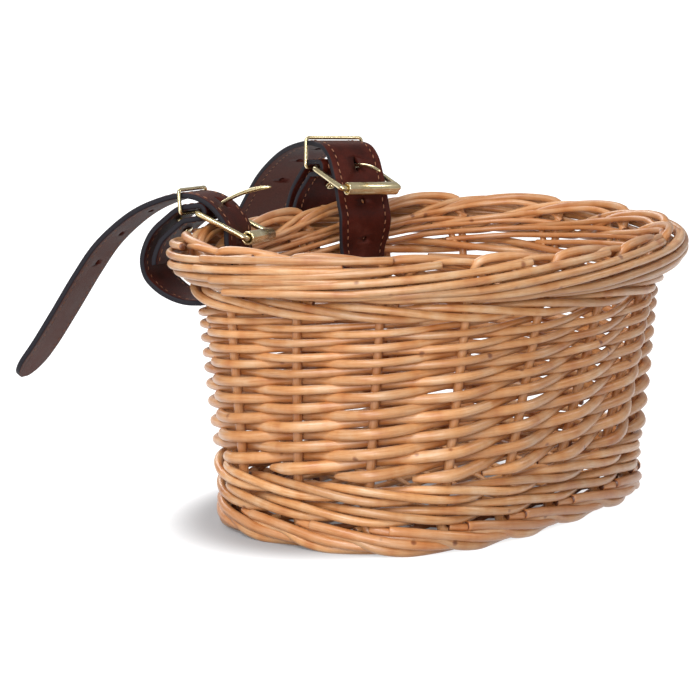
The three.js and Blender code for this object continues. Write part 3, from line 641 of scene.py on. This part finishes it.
# Cut ends in view at the rim's left end: each one's place in stakes and share of the rise
left_butts = [(5.0, 0.84), (4.92, 0.6), (5.1, 0.38), (5.28, 0.14)]
left_butt_runs = [
    (0, 1.12, 0.0), (0.3, 1.08, 0.03), (0.9, 1.02, 0.1), (1.6, 0.9, 0.15), (2.1, 0.66, 0.17),
]

# Where a border starts, how high it rises and how far it reaches
rim_border = (wale_top, border_rise, border_reach)
foot_ground = 2.0
foot_border = (foot_ground, foot_rise - foot_ground, foot_reach)
# Each kind of rod that lies beside the stakes' ends: its runs, border, diameter and painted shade
border_rods = {
    "rim_pair": (rim_pairs, rim_border, 3.1, 0.15),
    "ridge_pair": (ridge_pairs, rim_border, 2.9, 0.35),
    "inner_lap": (inner_laps, rim_border, 2.7, 0.5),
    "foot_pair": (foot_pairs, foot_border, 3.7, 0.5),
    "foot_butt": (foot_butts, foot_border, 4.4, 0.45),
    "foot_filler_1": (foot_fillers_1, foot_border, 3.2, 0.94),
    "foot_filler_2": (foot_fillers_2, foot_border, 3.2, 0.94),
}


def border_rod(name, index, runs, border, diameter, painted_shade):
    """A rod laid beside a stake's end, which fills a border between the stakes' ends."""
    base, rise, reach = border
    controls = []
    for run, out, up in runs:
        hump = strap_push(index + run) * rim_hump if border is rim_border else 0
        controls.append(((index + run) * stake_pitch, base + up * rise + hump, out * reach))
    line = wall_line(controls, 2.6)[1]
    willow_rod(name, "willow_stake", line, [diameter] * len(line), [painted_shade] * len(line), sides=10)


for i in range(stake_count):
    stake(i)
    weaver(i)
    for kind, build in border_rods.items():
        border_rod(f"willow_{kind}_{i + 1:02d}", i, *build)
for k, (place, height) in enumerate(left_butts):
    runs = [(run, out, height + up) for run, out, up in left_butt_runs]
    border_rod(f"willow_rim_butt_{k + 1}", place, runs, rim_border, 3.4, 0.1)

# Each wale's first stake, rod, height and how much it rises over the straps
foot_wale_middle = 13 + foot_wale_half
wales = {
    "foot_wale_1": (0, foot_wale_rod, foot_wale_middle, 0),
    "foot_wale_2": (1, foot_wale_rod, foot_wale_middle + (2 * foot_wale_half + rod_gap), 0),
    "rim_wale": (0, rim_wale_rod, rim_wale_middle, rim_hump),
}
for wale, build in wales.items():
    for i in range(3):
        wale_rod(wale, i, *build)

# Woven base
base_stick, base_rod, base_pitch, base_level = 3.0, 2.3, 10.4, 10.4
stick_pitch, stick_steps, woven_share = 22, 24, 0.82
foot_inset = stake_foot / 2 + foot_wale_rod + 2 * rod_gap + base_rod / 2
# How far each stick runs past the wall's middle, at its left and its right
stick_ends = [(1.2, -1), (-0.6, 2), (1.5, -0.4), (1.2, 1.8)]


def stick_depth(index):
    return (index - 1.5) * stick_pitch - foot_set_forward


def base_edge(along_x, cross, inset):
    """How far the inside of the wall reaches along X at a depth, or along Y at a width."""
    reach, steps = [0.0, 0.0], 360
    for i in range(steps):
        start = wall_point(stake_count * i / steps, base_level, -inset)
        end = wall_point(stake_count * (i + 1) / steps, base_level, -inset)
        a, b = (start.y - cross, end.y - cross) if along_x else (start.x - cross, end.x - cross)
        if a * b > 0 or a == b:
            continue
        at = start.lerp(end, a / (a - b))
        value = at.x if along_x else at.y
        reach = [min(reach[0], value), max(reach[1], value)]
    return reach


for index, (to_left, to_right) in enumerate(stick_ends):
    depth = stick_depth(index)
    low = base_edge(True, depth, -to_left)[0]
    high = base_edge(True, depth, -to_right)[1]
    line = [Vector((low + (high - low) * k / stick_steps, depth, base_level))
            for k in range(stick_steps + 1)]
    # A little painted shade all along the base sticks.
    willow_rod(f"willow_base_stick_{index + 1}", "willow_stake", line, [base_stick] * len(line),
               [0.2] * len(line), [f"base_stick_{index + 1}"])


def base_snake():
    """The rod that goes over and under the base sticks and turns round beyond the outermost."""
    rise = (base_stick + base_rod) / 2 + rod_gap
    runs = int(2 * foot_half_width * woven_share / base_pitch)
    controls = []
    for run in range(runs):
        across = (run - (runs - 1) / 2) * base_pitch
        forward = run % 2 == 0
        for k in range(4):
            index = k if forward else 3 - k
            lift = rise if (index + run) % 2 == 0 else -rise
            controls.append(Vector((across, stick_depth(index), base_level + lift)))
        if run == runs - 1:
            break
        outward = 1 if forward else -1
        edge = base_edge(False, across + base_pitch / 2, foot_inset)[1 if forward else 0]
        for side in (0, base_pitch):
            controls.append(Vector((across + side, edge - outward * base_pitch, base_level)))
    line = smooth_line(controls, 2.4)
    # A little painted shade all along the base weave.
    willow_rod("willow_base_weave", "willow_weaver", line, [base_rod + 0.1] * len(line),
               [0.15] * len(line), ["base_weave"], sides=8)


base_snake()

# The straps. In a strap's own frame x points out through the wall, y along it and z up.
# Its lines are flat, in x and z.

fold_angle = 1.25
frame_wire, frame_length, heel_reach = 2.8, 27.0, 10.0
roller_diameter, wire_play = 6.4, 0.3
prong_wire, prong_length, prong_bend = 2.0, 33.0, 24.0
keeper_wire, side_clearance, keeper_reach, keeper_top_reach = 1.8, 0.6, 8.0, 19.0
keeper_play, wire_corner = 0.42, 2.1
frame_half = strap_width / 2 + side_clearance + frame_wire / 2
rivet_reach = 17.0
fold_radius = frame_wire / 2 + rod_gap + strap_thickness / 2
strap_reach, flap_length, fold_steps = 38.0, 44, 14
hole_pitch, hole_radius, slit_radius, slit_stretch = 19, 1.55, 1.6, 2.6
stitch_pitch, stitch_start, stitch_size, stitch_slant = 3.8, 2.4, (0.33, 0.26, 1.15), 0.14
loop_shares = [
    (0.245, -0.03), (0.42, -0.03), (0.605, 0.01), (0.795, 0.095), (0.945, 0.225), (0.995, 0.4),
    (0.966, 0.565), (0.868, 0.75), (0.69, 0.91), (0.513, 1.03),
]
tail_shares = [
    (0.316, -0.04), (0.41, -0.092), (0.505, -0.172), (0.603, -0.282), (0.7, -0.44), (0.8, -0.624),
    (0.903, -0.808), (0.942, -0.87),
]
straps = [
    {"side": "left", "place": 3.5, "turn": 5, "heel_height": 41, "frame_drop": 24, "prong_lift": 56,
     "tail_reach": 103.5, "tail_drop": 91, "tail_end": 0.95,
     "inner": [(-0.16, -0.01), (-0.222, 0.07), (-0.222, 0.31), (-0.14, 0.51), (-0.112, 0.68),
               (-0.095, 0.84), (0.01, 0.985), (0.135, 1.09), (0.316, 1.165), (0.534, 1.175)]},
    {"side": "right", "place": 1.5, "turn": -15, "heel_height": 52, "frame_drop": 17,
     "prong_lift": 29, "tail_reach": 109, "tail_drop": 75, "tail_end": 0.81,
     "inner": [(-0.15, -0.01), (-0.222, 0.055), (-0.226, 0.27), (-0.29, 0.447), (-0.308, 0.563),
               (-0.242, 0.69), (-0.153, 0.864), (-0.074, 0.98), (0.026, 1.107), (0.184, 1.196),
               (0.368, 1.22), (0.54, 1.22)]},
]


def turned_from(centre, radius, angle):
    return Vector((centre.x + radius * cos(angle), centre.y + radius * sin(angle)))


def slot_of(place):
    below = course_height(slot_course - 0.5) + weaver_diameter(slot_course - 0.5) / 2 - weave_dip
    above = course_height(slot_course + 0.5) - weaver_diameter(slot_course + 0.5) / 2 + rim_hump
    at = wall_point(place, (below + above) / 2, 0)
    run = wall_point(place + 0.25, at.z, 0) - wall_point(place - 0.25, at.z, 0)
    climb = course_height(slot_course + 0.25) - course_height(slot_course - 0.25)
    return at, atan2(-run.x, run.y), atan(climb / run.length)


def turn_at(strap, height):
    return smooth(strap["heel_height"] * 0.1, strap["heel_height"] * 0.56, height)


def placing(strap, turned):
    """The matrix from the strap's own frame to the basket's, with a share of the strap's turn."""
    at, facing, roll = slot_of(strap["place"])
    turn = Matrix.Rotation(facing + turned * radians(strap["turn"]), 4, "Z")
    return Matrix.Translation(at) @ turn @ Matrix.Rotation(roll, 4, "X")


def laid(at, second, third, width=1):
    """The matrix that lays x across a strap, and y and z along two directions of its plane."""
    return Matrix(((0, second.x, third.x, at.x), (width, 0, 0, 0),
                   (0, second.y, third.y, at.y), (0, 0, 0, 1)))


def beside(run):
    """The direction a quarter turn to the left of a run, in a strap's plane."""
    return Vector((-run.y, run.x))


def prong_angle(strap):
    return pi - radians(strap["prong_lift"] - strap["frame_drop"])


def smooth_flat(points, step):
    return [Vector(p[:2]) for p in smooth_line([(p.x, p.y, 0.0) for p in points], step)]


def strap_lines(strap):
    """The flat lines of the outer loop, the fold round the heel bar, the flap and the tail."""
    heel = Vector((heel_reach, strap["heel_height"]))
    rise = strap["heel_height"]
    outer = smooth_flat([Vector((0, 0)),
                         *[Vector((s * strap_reach, z * rise)) for s, z in loop_shares],
                         turned_from(heel, fold_radius, fold_angle)], 1.6)
    flap, walked = [], 0.0
    for i in range(len(outer) - 1, 1, -1):
        run = outer[i] - outer[i - 1]
        walked += run.length
        if walked > flap_length:
            break
        flap.append(outer[i - 1] + beside(run).normalized() * 2 * fold_radius)
    fold = [turned_from(heel, fold_radius,
                        fold_angle + (2 * pi - 2 * fold_angle) * k / fold_steps)
            for k in range(fold_steps + 1)]
    inner = [Vector((0, 0))] + [Vector((s * strap_reach, z * rise)) for s, z in strap["inner"]]
    crown = inner[-1].y
    inner += [Vector((s * strap["tail_reach"], crown + z * strap["tail_drop"]))
              for s, z in tail_shares if s < strap["tail_end"]]
    roller = turned_from(heel, frame_length, pi + radians(strap["frame_drop"]))
    return {"heel": heel, "outer": outer, "flap": flap, "fold": fold,
            "tail": smooth_flat(inner, 1.8), "roller": roller}


def walk_line(points, index, start, distance):
    """The point a distance along a line from a point on its segment, with the direction there."""
    step = 1 if distance > 0 else -1
    left, at = abs(distance), start.copy()
    following = index + 1 if step > 0 else index
    while 0 <= following < len(points):
        length = (points[following] - at).length
        if length >= left:
            run = (points[following] - at).normalized()
            return at + run * left, run * step
        left -= length
        at = points[following].copy()
        following += step
    return at, Vector((1, 0))


def prong_hole(strap, lines):
    """Where the prong passes through the strap: the point, the strap's run there and its place."""
    angle = prong_angle(strap)
    ray = Vector((cos(angle), sin(angle)))
    points, heel = lines["tail"], lines["heel"]
    for i in range(len(points) - 1):
        a, b = points[i] - heel, points[i + 1] - heel
        side_a, side_b = a.cross(ray), b.cross(ray)
        if side_a * side_b > 0 or side_a == side_b:
            continue
        at = points[i].lerp(points[i + 1], side_a / (side_a - side_b))
        if (at - heel).dot(ray) > 0:
            return at, (b - a).normalized(), i


def band_section(bm):
    """A ring of the strap's section with close points at its rounded edges."""
    half, thick, corner = strap_width / 2, strap_thickness / 2, 0.95
    outline = []
    for sx, sy, first in ((1, 1, 0), (-1, 1, 90), (-1, -1, 180), (1, -1, 270)):
        for k in range(5):
            a = radians(first + 22.5 * k)
            outline.append((sx * (half - corner) + corner * cos(a),
                            sy * (thick - corner) + corner * sin(a)))
        inner = [(half - 2.2) * t for t in (1, 0.5, 0, -0.5, -1)]
        if first == 0:
            outline += [(x, thick) for x in inner]
        if first == 180:
            outline += [(-x, -thick) for x in inner]
    ring = bmesh.ops.create_circle(bm, segments=len(outline), radius=1)["verts"]
    ring = sorted(ring, key=lambda v: atan2(v.co.y, v.co.x) % (2 * pi))
    for v, (x, y) in zip(ring, outline):
        v.co.x, v.co.y = x, y
    return ring


def strap_places_of(strap, lines):
    """Points, matrices and marks along the strap, from the flap round the heel bar to the tip."""
    looped = [*reversed(lines["flap"]), *reversed(lines["fold"]), *reversed(lines["outer"][1:-1])]
    points = [*looped, *lines["tail"]]
    passed = len(looped) + next(i for i, p in enumerate(lines["tail"])
                                if p.y > strap["heel_height"] * 0.6)
    turns = [1.0 if i > passed else turn_at(strap, p.y) for i, p in enumerate(points)]
    scales = [1.0] * len(points)
    last_run = (points[-1] - points[-2]).normalized()
    tip, end = strap_width * 0.45, points[-1].copy()
    for part in (0.12, 0.25, 0.38, 0.5, 0.62, 0.72, 0.81, 0.88, 0.93, 0.97):
        points.append(end + last_run * part * tip)
        scales.append(sqrt(1 - part * part))
        turns.append(1.0)
    places, marks, walked = [], [], 0.0
    for i, p in enumerate(points):
        if i:
            walked += (p - points[i - 1]).length
        run = run_at(points, i)
        places.append(placing(strap, turns[i]) @ laid(p, beside(run), run, scales[i]))
        # tone marks the tail's far part, where the flesh side shows paler: partly painted light.
        marks.append({"along": walked, "tone": smooth(passed + 36, passed + 58, i)})
    return points, places, marks, scales


def cut(piece, cutters):
    """Cuts the shapes in the mesh cutters out of the piece."""
    tool = add_object("cutters", cutters)
    modifier = piece.modifiers.new("holes", "BOOLEAN")
    modifier.operation = "DIFFERENCE"
    modifier.solver = "EXACT"
    modifier.use_self = True
    modifier.object = tool
    bpy.context.view_layer.update()
    shown = piece.evaluated_get(bpy.context.evaluated_depsgraph_get())
    mesh = bpy.data.meshes.new_from_object(shown)
    piece.modifiers.clear()
    piece.data = mesh
    bpy.data.objects.remove(tool)


def strap_holes(strap, lines):
    """The cutters of a strap's holes, of the prong's hole and of the slit at the fold."""
    holes = bmesh.new()

    def bore(matrix, segments, radius, depth):
        bmesh.ops.create_cone(holes, cap_ends=True, segments=segments, radius1=radius,
                              radius2=radius, depth=depth, matrix=Matrix.Scale(mm, 4) @ matrix)

    at, run, index = prong_hole(strap, lines)
    bore(placing(strap, 1.0) @ laid(at, run, beside(run))
         @ sized(slit_radius, slit_radius * slit_stretch), 20, 1, 6)
    for count in (-2, -1, 2, 3, 4):
        hole, run = walk_line(lines["tail"], index, at, count * hole_pitch)
        turned = turn_at(strap, hole.y) if count < -1 else 1.0
        bore(placing(strap, turned) @ laid(hole, run, beside(run)) @ sized(hole_radius), 20, 1, 6)
    heel = Matrix.Translation((lines["heel"].x, 0, lines["heel"].y))
    bore(placing(strap, 1.0) @ heel @ Matrix.Rotation(pi / 2, 4, "X"), 24,
         fold_radius + 1.6, 3.3)
    bmesh.ops.recalc_face_normals(holes, faces=holes.faces)
    cutters = take_mesh(holes, "cutters")
    cutters.materials.append(strap_leather)
    return cutters


def seams(side, points, places, scales):
    """Rows of slanted stitches along both edges of a strap, on both of its faces."""
    stitch = bmesh.new()
    bmesh.ops.create_uvsphere(stitch, u_segments=8, v_segments=6, radius=1)
    bmesh.ops.scale(stitch, vec=stitch_size, verts=stitch.verts)
    one = take_mesh(stitch, "stitch")
    stitches = bmesh.new()
    walked, following = 0.0, stitch_start
    for i in range(1, len(points)):
        walked += (points[i] - points[i - 1]).length
        if walked < following or scales[i] < 0.999:
            continue
        following += stitch_pitch
        for edge in (1, -1):
            for face in (1, -1):
                raised = strap_thickness / 2 + (0.02 if face > 0 else -0.1)
                inwards = Vector((edge * (strap_width / 2 - seam_inset), face * raised, 0))
                place = places[i] @ Matrix.Translation(inwards)
                place = place @ Matrix.Rotation(stitch_slant * edge, 4, "Y")
                made = len(stitches.verts)
                stitches.from_mesh(one)
                stitches.verts.ensure_lookup_table()
                for v in stitches.verts[made:]:
                    v.co = place @ v.co
    finish_piece(stitches, f"thread_{side}_seams", "basket", seam_thread)


def strap_piece(strap):
    """A strap in one piece, flap to tip, with its holes and its seams."""
    side, lines = strap["side"], strap_lines(strap)
    points, places, marks, scales = strap_places_of(strap, lines)
    bm = bmesh.new()
    layers = mark_layers(bm)
    ring = band_section(bm)
    for v in ring:
        v[layers["across"]], v[layers["around"]] = v.co.x, v.co.y
    sweep(bm, ring, places, marks)
    uv = bm.loops.layers.uv.new("strap")
    for face in bm.faces:
        for loop in face.loops:
            loop[uv].uv = (loop.vert[layers["along"]], loop.vert[layers["across"]])
    piece = finish_piece(bm, f"leather_{side}_strap", "basket", strap_leather,
                         [f"{side}_strap"])
    cut(piece, strap_holes(strap, lines))
    piece.data.shade_smooth()
    seams(side, points, places, scales)
    return lines


# The brass

def brass_piece(bm, strap, kind, node, body=None):
    side = strap["side"]
    finish_piece(bm, f"brass_{side}_{kind}", body or f"{side}_{kind}", buckle_brass,
                 [f"{side}_{node}"])


def wire_loop(strap, kind, node, controls, diameter):
    """A closed round wire through points given as reach, across and height."""
    points = [placing(strap, 1.0) @ Vector(c) for c in controls]
    count = len(points)
    normal = (points[1] - points[0]).cross(points[count // 2] - points[0]).normalized()
    places = []
    for i in range(count + 1):
        run = (points[(i + 1) % count] - points[(i - 1) % count]).normalized()
        turn = Matrix((run.cross(normal).normalized(), normal, run)).transposed().to_4x4()
        places.append(Matrix.Translation(points[i % count]) @ turn @ sized(diameter / 2))
    bm = bmesh.new()
    sweep(bm, section_of(bm, 14), places, closed=True)
    brass_piece(bm, strap, kind, node)


def rounded_loop(start, end, half, radius):
    """A rounded rectangle between two points of the plane, with its straight sides divided."""
    run = end - start
    length = run.length
    run.normalize()
    points = []
    corners = [(radius, 1, 0.0), (radius, -1, -0.5), (length - radius, -1, -1.0),
               (length - radius, 1, -1.5)]
    for reach, side, quarter in corners:
        for k in range(7):
            angle = (quarter - 0.5 * k / 6) * pi
            at = start + run * (reach + radius * sin(angle))
            across = side * (half - radius) + radius * cos(angle)
            points.append(Vector((at.x, across, at.y)))
    full = []
    for p, q in zip(points, [*points[1:], points[0]]):
        count = max(int((q - p).length / 4), 1)
        full += [p.lerp(q, n / count) for n in range(count)]
    return full


def spun(profile, matrix, closed):
    """A shape spun about its own z axis from rows of radius and distance."""
    bm = bmesh.new()
    verts = [bm.verts.new((radius, 0, distance)) for radius, distance in profile]
    edges = [bm.edges.new((a, b)) for a, b in zip(verts, verts[1:])]
    if closed:
        edges.append(bm.edges.new((verts[-1], verts[0])))
    bmesh.ops.spin(bm, geom=[*verts, *edges], cent=(0, 0, 0), axis=(0, 0, 1), dvec=(0, 0, 0),
                   angle=2 * pi, steps=40, use_merge=True)
    bmesh.ops.remove_doubles(bm, verts=bm.verts, dist=1e-5)
    bmesh.ops.transform(bm, matrix=matrix, verts=bm.verts)
    bmesh.ops.recalc_face_normals(bm, faces=bm.faces)
    return bm


def buckle_frame(strap, lines):
    loop = rounded_loop(lines["heel"], lines["roller"], frame_half, wire_corner)
    wire_loop(strap, "frame", "buckle_frame", loop, frame_wire)


def buckle_roller(strap, lines):
    """A tube rolled from sheet, with its edges eased."""
    at, ease = lines["roller"], 0.35
    bore, outside = frame_wire / 2 + wire_play + 0.35, roller_diameter / 2
    width = frame_half - wire_corner - wire_play
    half = [(bore, width - ease), (bore + ease, width), (outside - ease, width),
            (outside - ease * 0.3, width - ease * 0.3), (outside, width - ease)]
    profile = [*((radius, -reach) for radius, reach in half), *reversed(half)]
    axis = (placing(strap, 1.0) @ Matrix.Translation((at.x, 0, at.y))
            @ Matrix.Rotation(-pi / 2, 4, "X"))
    brass_piece(spun(profile, axis, True), strap, "roller", "buckle_roller")


def buckle_prong(strap, lines):
    """A coil about the heel bar, then out through the slit and bowed to its tip."""
    heel, angle = lines["heel"], prong_angle(strap)
    ring = frame_wire / 2 + wire_play + prong_wire / 2
    controls = [turned_from(heel, ring, angle + t)
                for t in (1.55, 2.2, 2.85, 3.5, 4.15, 4.8, 5.4, 5.85)]
    controls.append(turned_from(heel, ring * 1.35, angle - 0.22))
    controls.append(turned_from(heel, ring * 2, angle))
    steps = 5
    for i in range(1, steps + 1):
        controls.append(turned_from(controls[-1], (prong_length - 2 * ring) / steps,
                                    angle + radians(prong_bend) * (i / steps) ** 1.5))
    points = [placing(strap, 1.0) @ Vector(r)
              for r in smooth_line([(c.x, 0.0, c.y) for c in controls], 1.2)]
    places, count, thinning = [], len(points), 0.22
    for i, place in enumerate(upright_frames(points)):
        left = (count - 1 - i) / count
        radius = prong_wire / 2 * (1 - 0.3 * smooth(thinning, 0.0, left) if left < thinning else 1)
        radius *= {count - 1: 0.55, count - 2: 0.85}.get(i, 1)
        places.append(place @ sized(radius))
    bm = bmesh.new()
    sweep(bm, section_of(bm, 12), places)
    brass_piece(bm, strap, "prong", "buckle_prong")


def strap_keeper(strap, lines):
    """A wire loop that holds the tail down on the folded end."""
    outer, tail = lines["outer"], lines["tail"]
    low, low_run = walk_line(outer, len(outer) - 2, outer[-1], -keeper_reach)
    clear = (strap_thickness + keeper_wire) / 2 + keeper_play
    start = low + beside(low_run) * clear
    over = next(i for i, p in enumerate(tail) if p.x > keeper_top_reach)
    a, b = tail[over - 1], tail[over]
    top = a.lerp(b, (keeper_top_reach - a.x) / (b.x - a.x))
    top.y += clear
    half = strap_width / 2 + side_clearance + keeper_wire / 2
    loop = rounded_loop(start, top, half, keeper_wire)
    wire_loop(strap, "keeper", "strap_keeper", loop, keeper_wire)


def strap_rivet(strap, lines):
    """The tubular rivet through the folded end."""
    outer = lines["outer"]
    hold, run = walk_line(outer, len(outer) - 2, outer[-1], -rivet_reach)
    near = strap_thickness / 2 + wire_play
    far = 2 * fold_radius + strap_thickness / 2 + 2 * wire_play
    profile = [(0.0, -far + 1.2), (0.9, -far + 1.2), (0.95, -far - 0.35), (1.3, -far - 0.75),
               (1.9, -far - 0.8), (2.7, -far - 0.45), (3.0, -far - 0.05), (2.9, -far), (1.5, -far),
               (1.5, near), (2.9, near), (3.0, near + 0.25), (2.4, near + 0.7), (1.2, near + 0.8),
               (0.0, near + 0.8)]
    matrix = placing(strap, turn_at(strap, hold.y)) @ laid(hold, -run, beside(-run))
    brass_piece(spun(profile, matrix, False), strap, "rivet", "strap_rivet", "basket")


for strap in straps:
    lines = strap_piece(strap)
    for part in (buckle_frame, buckle_roller, buckle_prong, strap_keeper, strap_rivet):
        part(strap, lines)

# The floor, the light and the camera

# The painted shadow on the floor: where its glow fades, in ellipse sizes, and the glow left inside
# it
floor_radius, painted_shadow_edge, painted_shadow_glow = 6.0, (0.78, 1.16), 0.1
world_strength = 0.44
# Each lamp's place, the height on the z axis that it aims at, its size, watts and colour
lamps = {
    "key_lamp": ((-1.1, 0.05, 1.2), 0.08, 0.5, 13.0, (0.98, 0.99, 1.0)),
    "front_lamp": ((-1.3, -0.55, 0.45), 0.09, 0.6, 11.0, (1, 1, 1)),
    "side_lamp": ((0.62, -0.83, 1.0), 0.05, 0.4, 2.8, (1, 1, 1)),
    "back_lamp": ((0.6, 1.1, 0.9), 0.1, 0.8, 6.5, (1, 1, 1)),
}


def paper_floor():
    """A wide round of paper that glows white to the camera, with a painted shadow: close to the
    basket, most to its left, the glow fades and the paper's dim diffuse shade shows.
    """
    bm = bmesh.new()
    bmesh.ops.create_circle(bm, segments=64, radius=floor_radius, cap_ends=True)
    paper = add_object("floor", take_mesh(bm, "floor"))
    material, tree, shader = new_material("floor_paper")
    tree.nodes.remove(shader)
    seen = add_node(tree, "LightPath").outputs
    # Painted shadow: an ellipse round the basket's footprint, set off to its left.
    painted_shadow_place = add_node(tree, "Mapping", Vector=object_place(tree), Location=(0.17, -0.09, 0),
                         Scale=(8.5, 11.8, 1)).outputs[0]
    distance = tree.nodes.new("ShaderNodeVectorMath")
    distance.operation = "LENGTH"
    plug(tree, distance.inputs[0], painted_shadow_place)
    painted_shadow_fade = add_node(tree, "MapRange", Value=distance.outputs["Value"], From_Min=painted_shadow_edge[0],
                      From_Max=painted_shadow_edge[1], To_Min=painted_shadow_glow)
    painted_shadow_fade.interpolation_type = "SMOOTHSTEP"
    shown = maths(tree, "ADD", seen["Is Camera Ray"], seen["Is Glossy Ray"], True)
    glow = add_node(tree, "Emission", Strength=maths(tree, "MULTIPLY", shown, painted_shadow_fade.outputs[0]))
    both = tree.nodes.new("ShaderNodeAddShader")
    plug(tree, both.inputs[0], add_node(tree, "BsdfDiffuse", Color=(0.36, 0.36, 0.37)).outputs[0])
    plug(tree, both.inputs[1], glow.outputs[0])
    feed(tree, tree.nodes["Material Output"], Surface=both.outputs[0])
    paper.data.materials.append(material)


def studio_light():
    """Soft light from all sides, white to the camera, and four round lamps."""
    world = bpy.data.worlds.new("studio")
    bpy.context.scene.world = world
    world.use_nodes = True
    tree = world.node_tree
    seen = add_node(tree, "LightPath").outputs["Is Camera Ray"]
    feed(tree, tree.nodes["Background"], Strength=remap(tree, seen, To_Min=world_strength),
         Color=(1, 1, 1))
    for name, (place, aim_height, size, watts, colour) in lamps.items():
        light = bpy.data.lights.new(name, "AREA")
        light.shape = "DISK"
        light.size = size
        light.energy = watts
        light.color = colour
        lamp = add_object(name, light)
        lamp.location = place
        aim = Vector((0, 0, aim_height)) - Vector(place)
        lamp.rotation_euler = aim.to_track_quat("-Z", "Y").to_euler()


def photo_camera():
    """The photo's own view, as it was fitted to the basket's plan."""
    right = Vector((0.5984, -0.8012, 0.0)).normalized()
    back = Vector((-0.7896, -0.5897, 0.1693)).normalized()
    across, height, away = -31.68, 72.53, 1319.2
    camera_data = bpy.data.cameras.new("photo_camera")
    camera = add_object("photo_camera", camera_data)
    turn = Matrix((right, back.cross(right).normalized(), back)).transposed().to_4x4()
    place = (right * across + Vector((0, 0, height)) + back * away) * mm
    camera.matrix_world = Matrix.Translation(place) @ turn
    camera_data.lens = 143.46
    camera_data.sensor_width = 36
    camera_data.clip_start = 0.05
    bpy.context.scene.camera = camera


paper_floor()
studio_light()
photo_camera()
bpy.context.scene.view_settings.view_transform = "Standard"
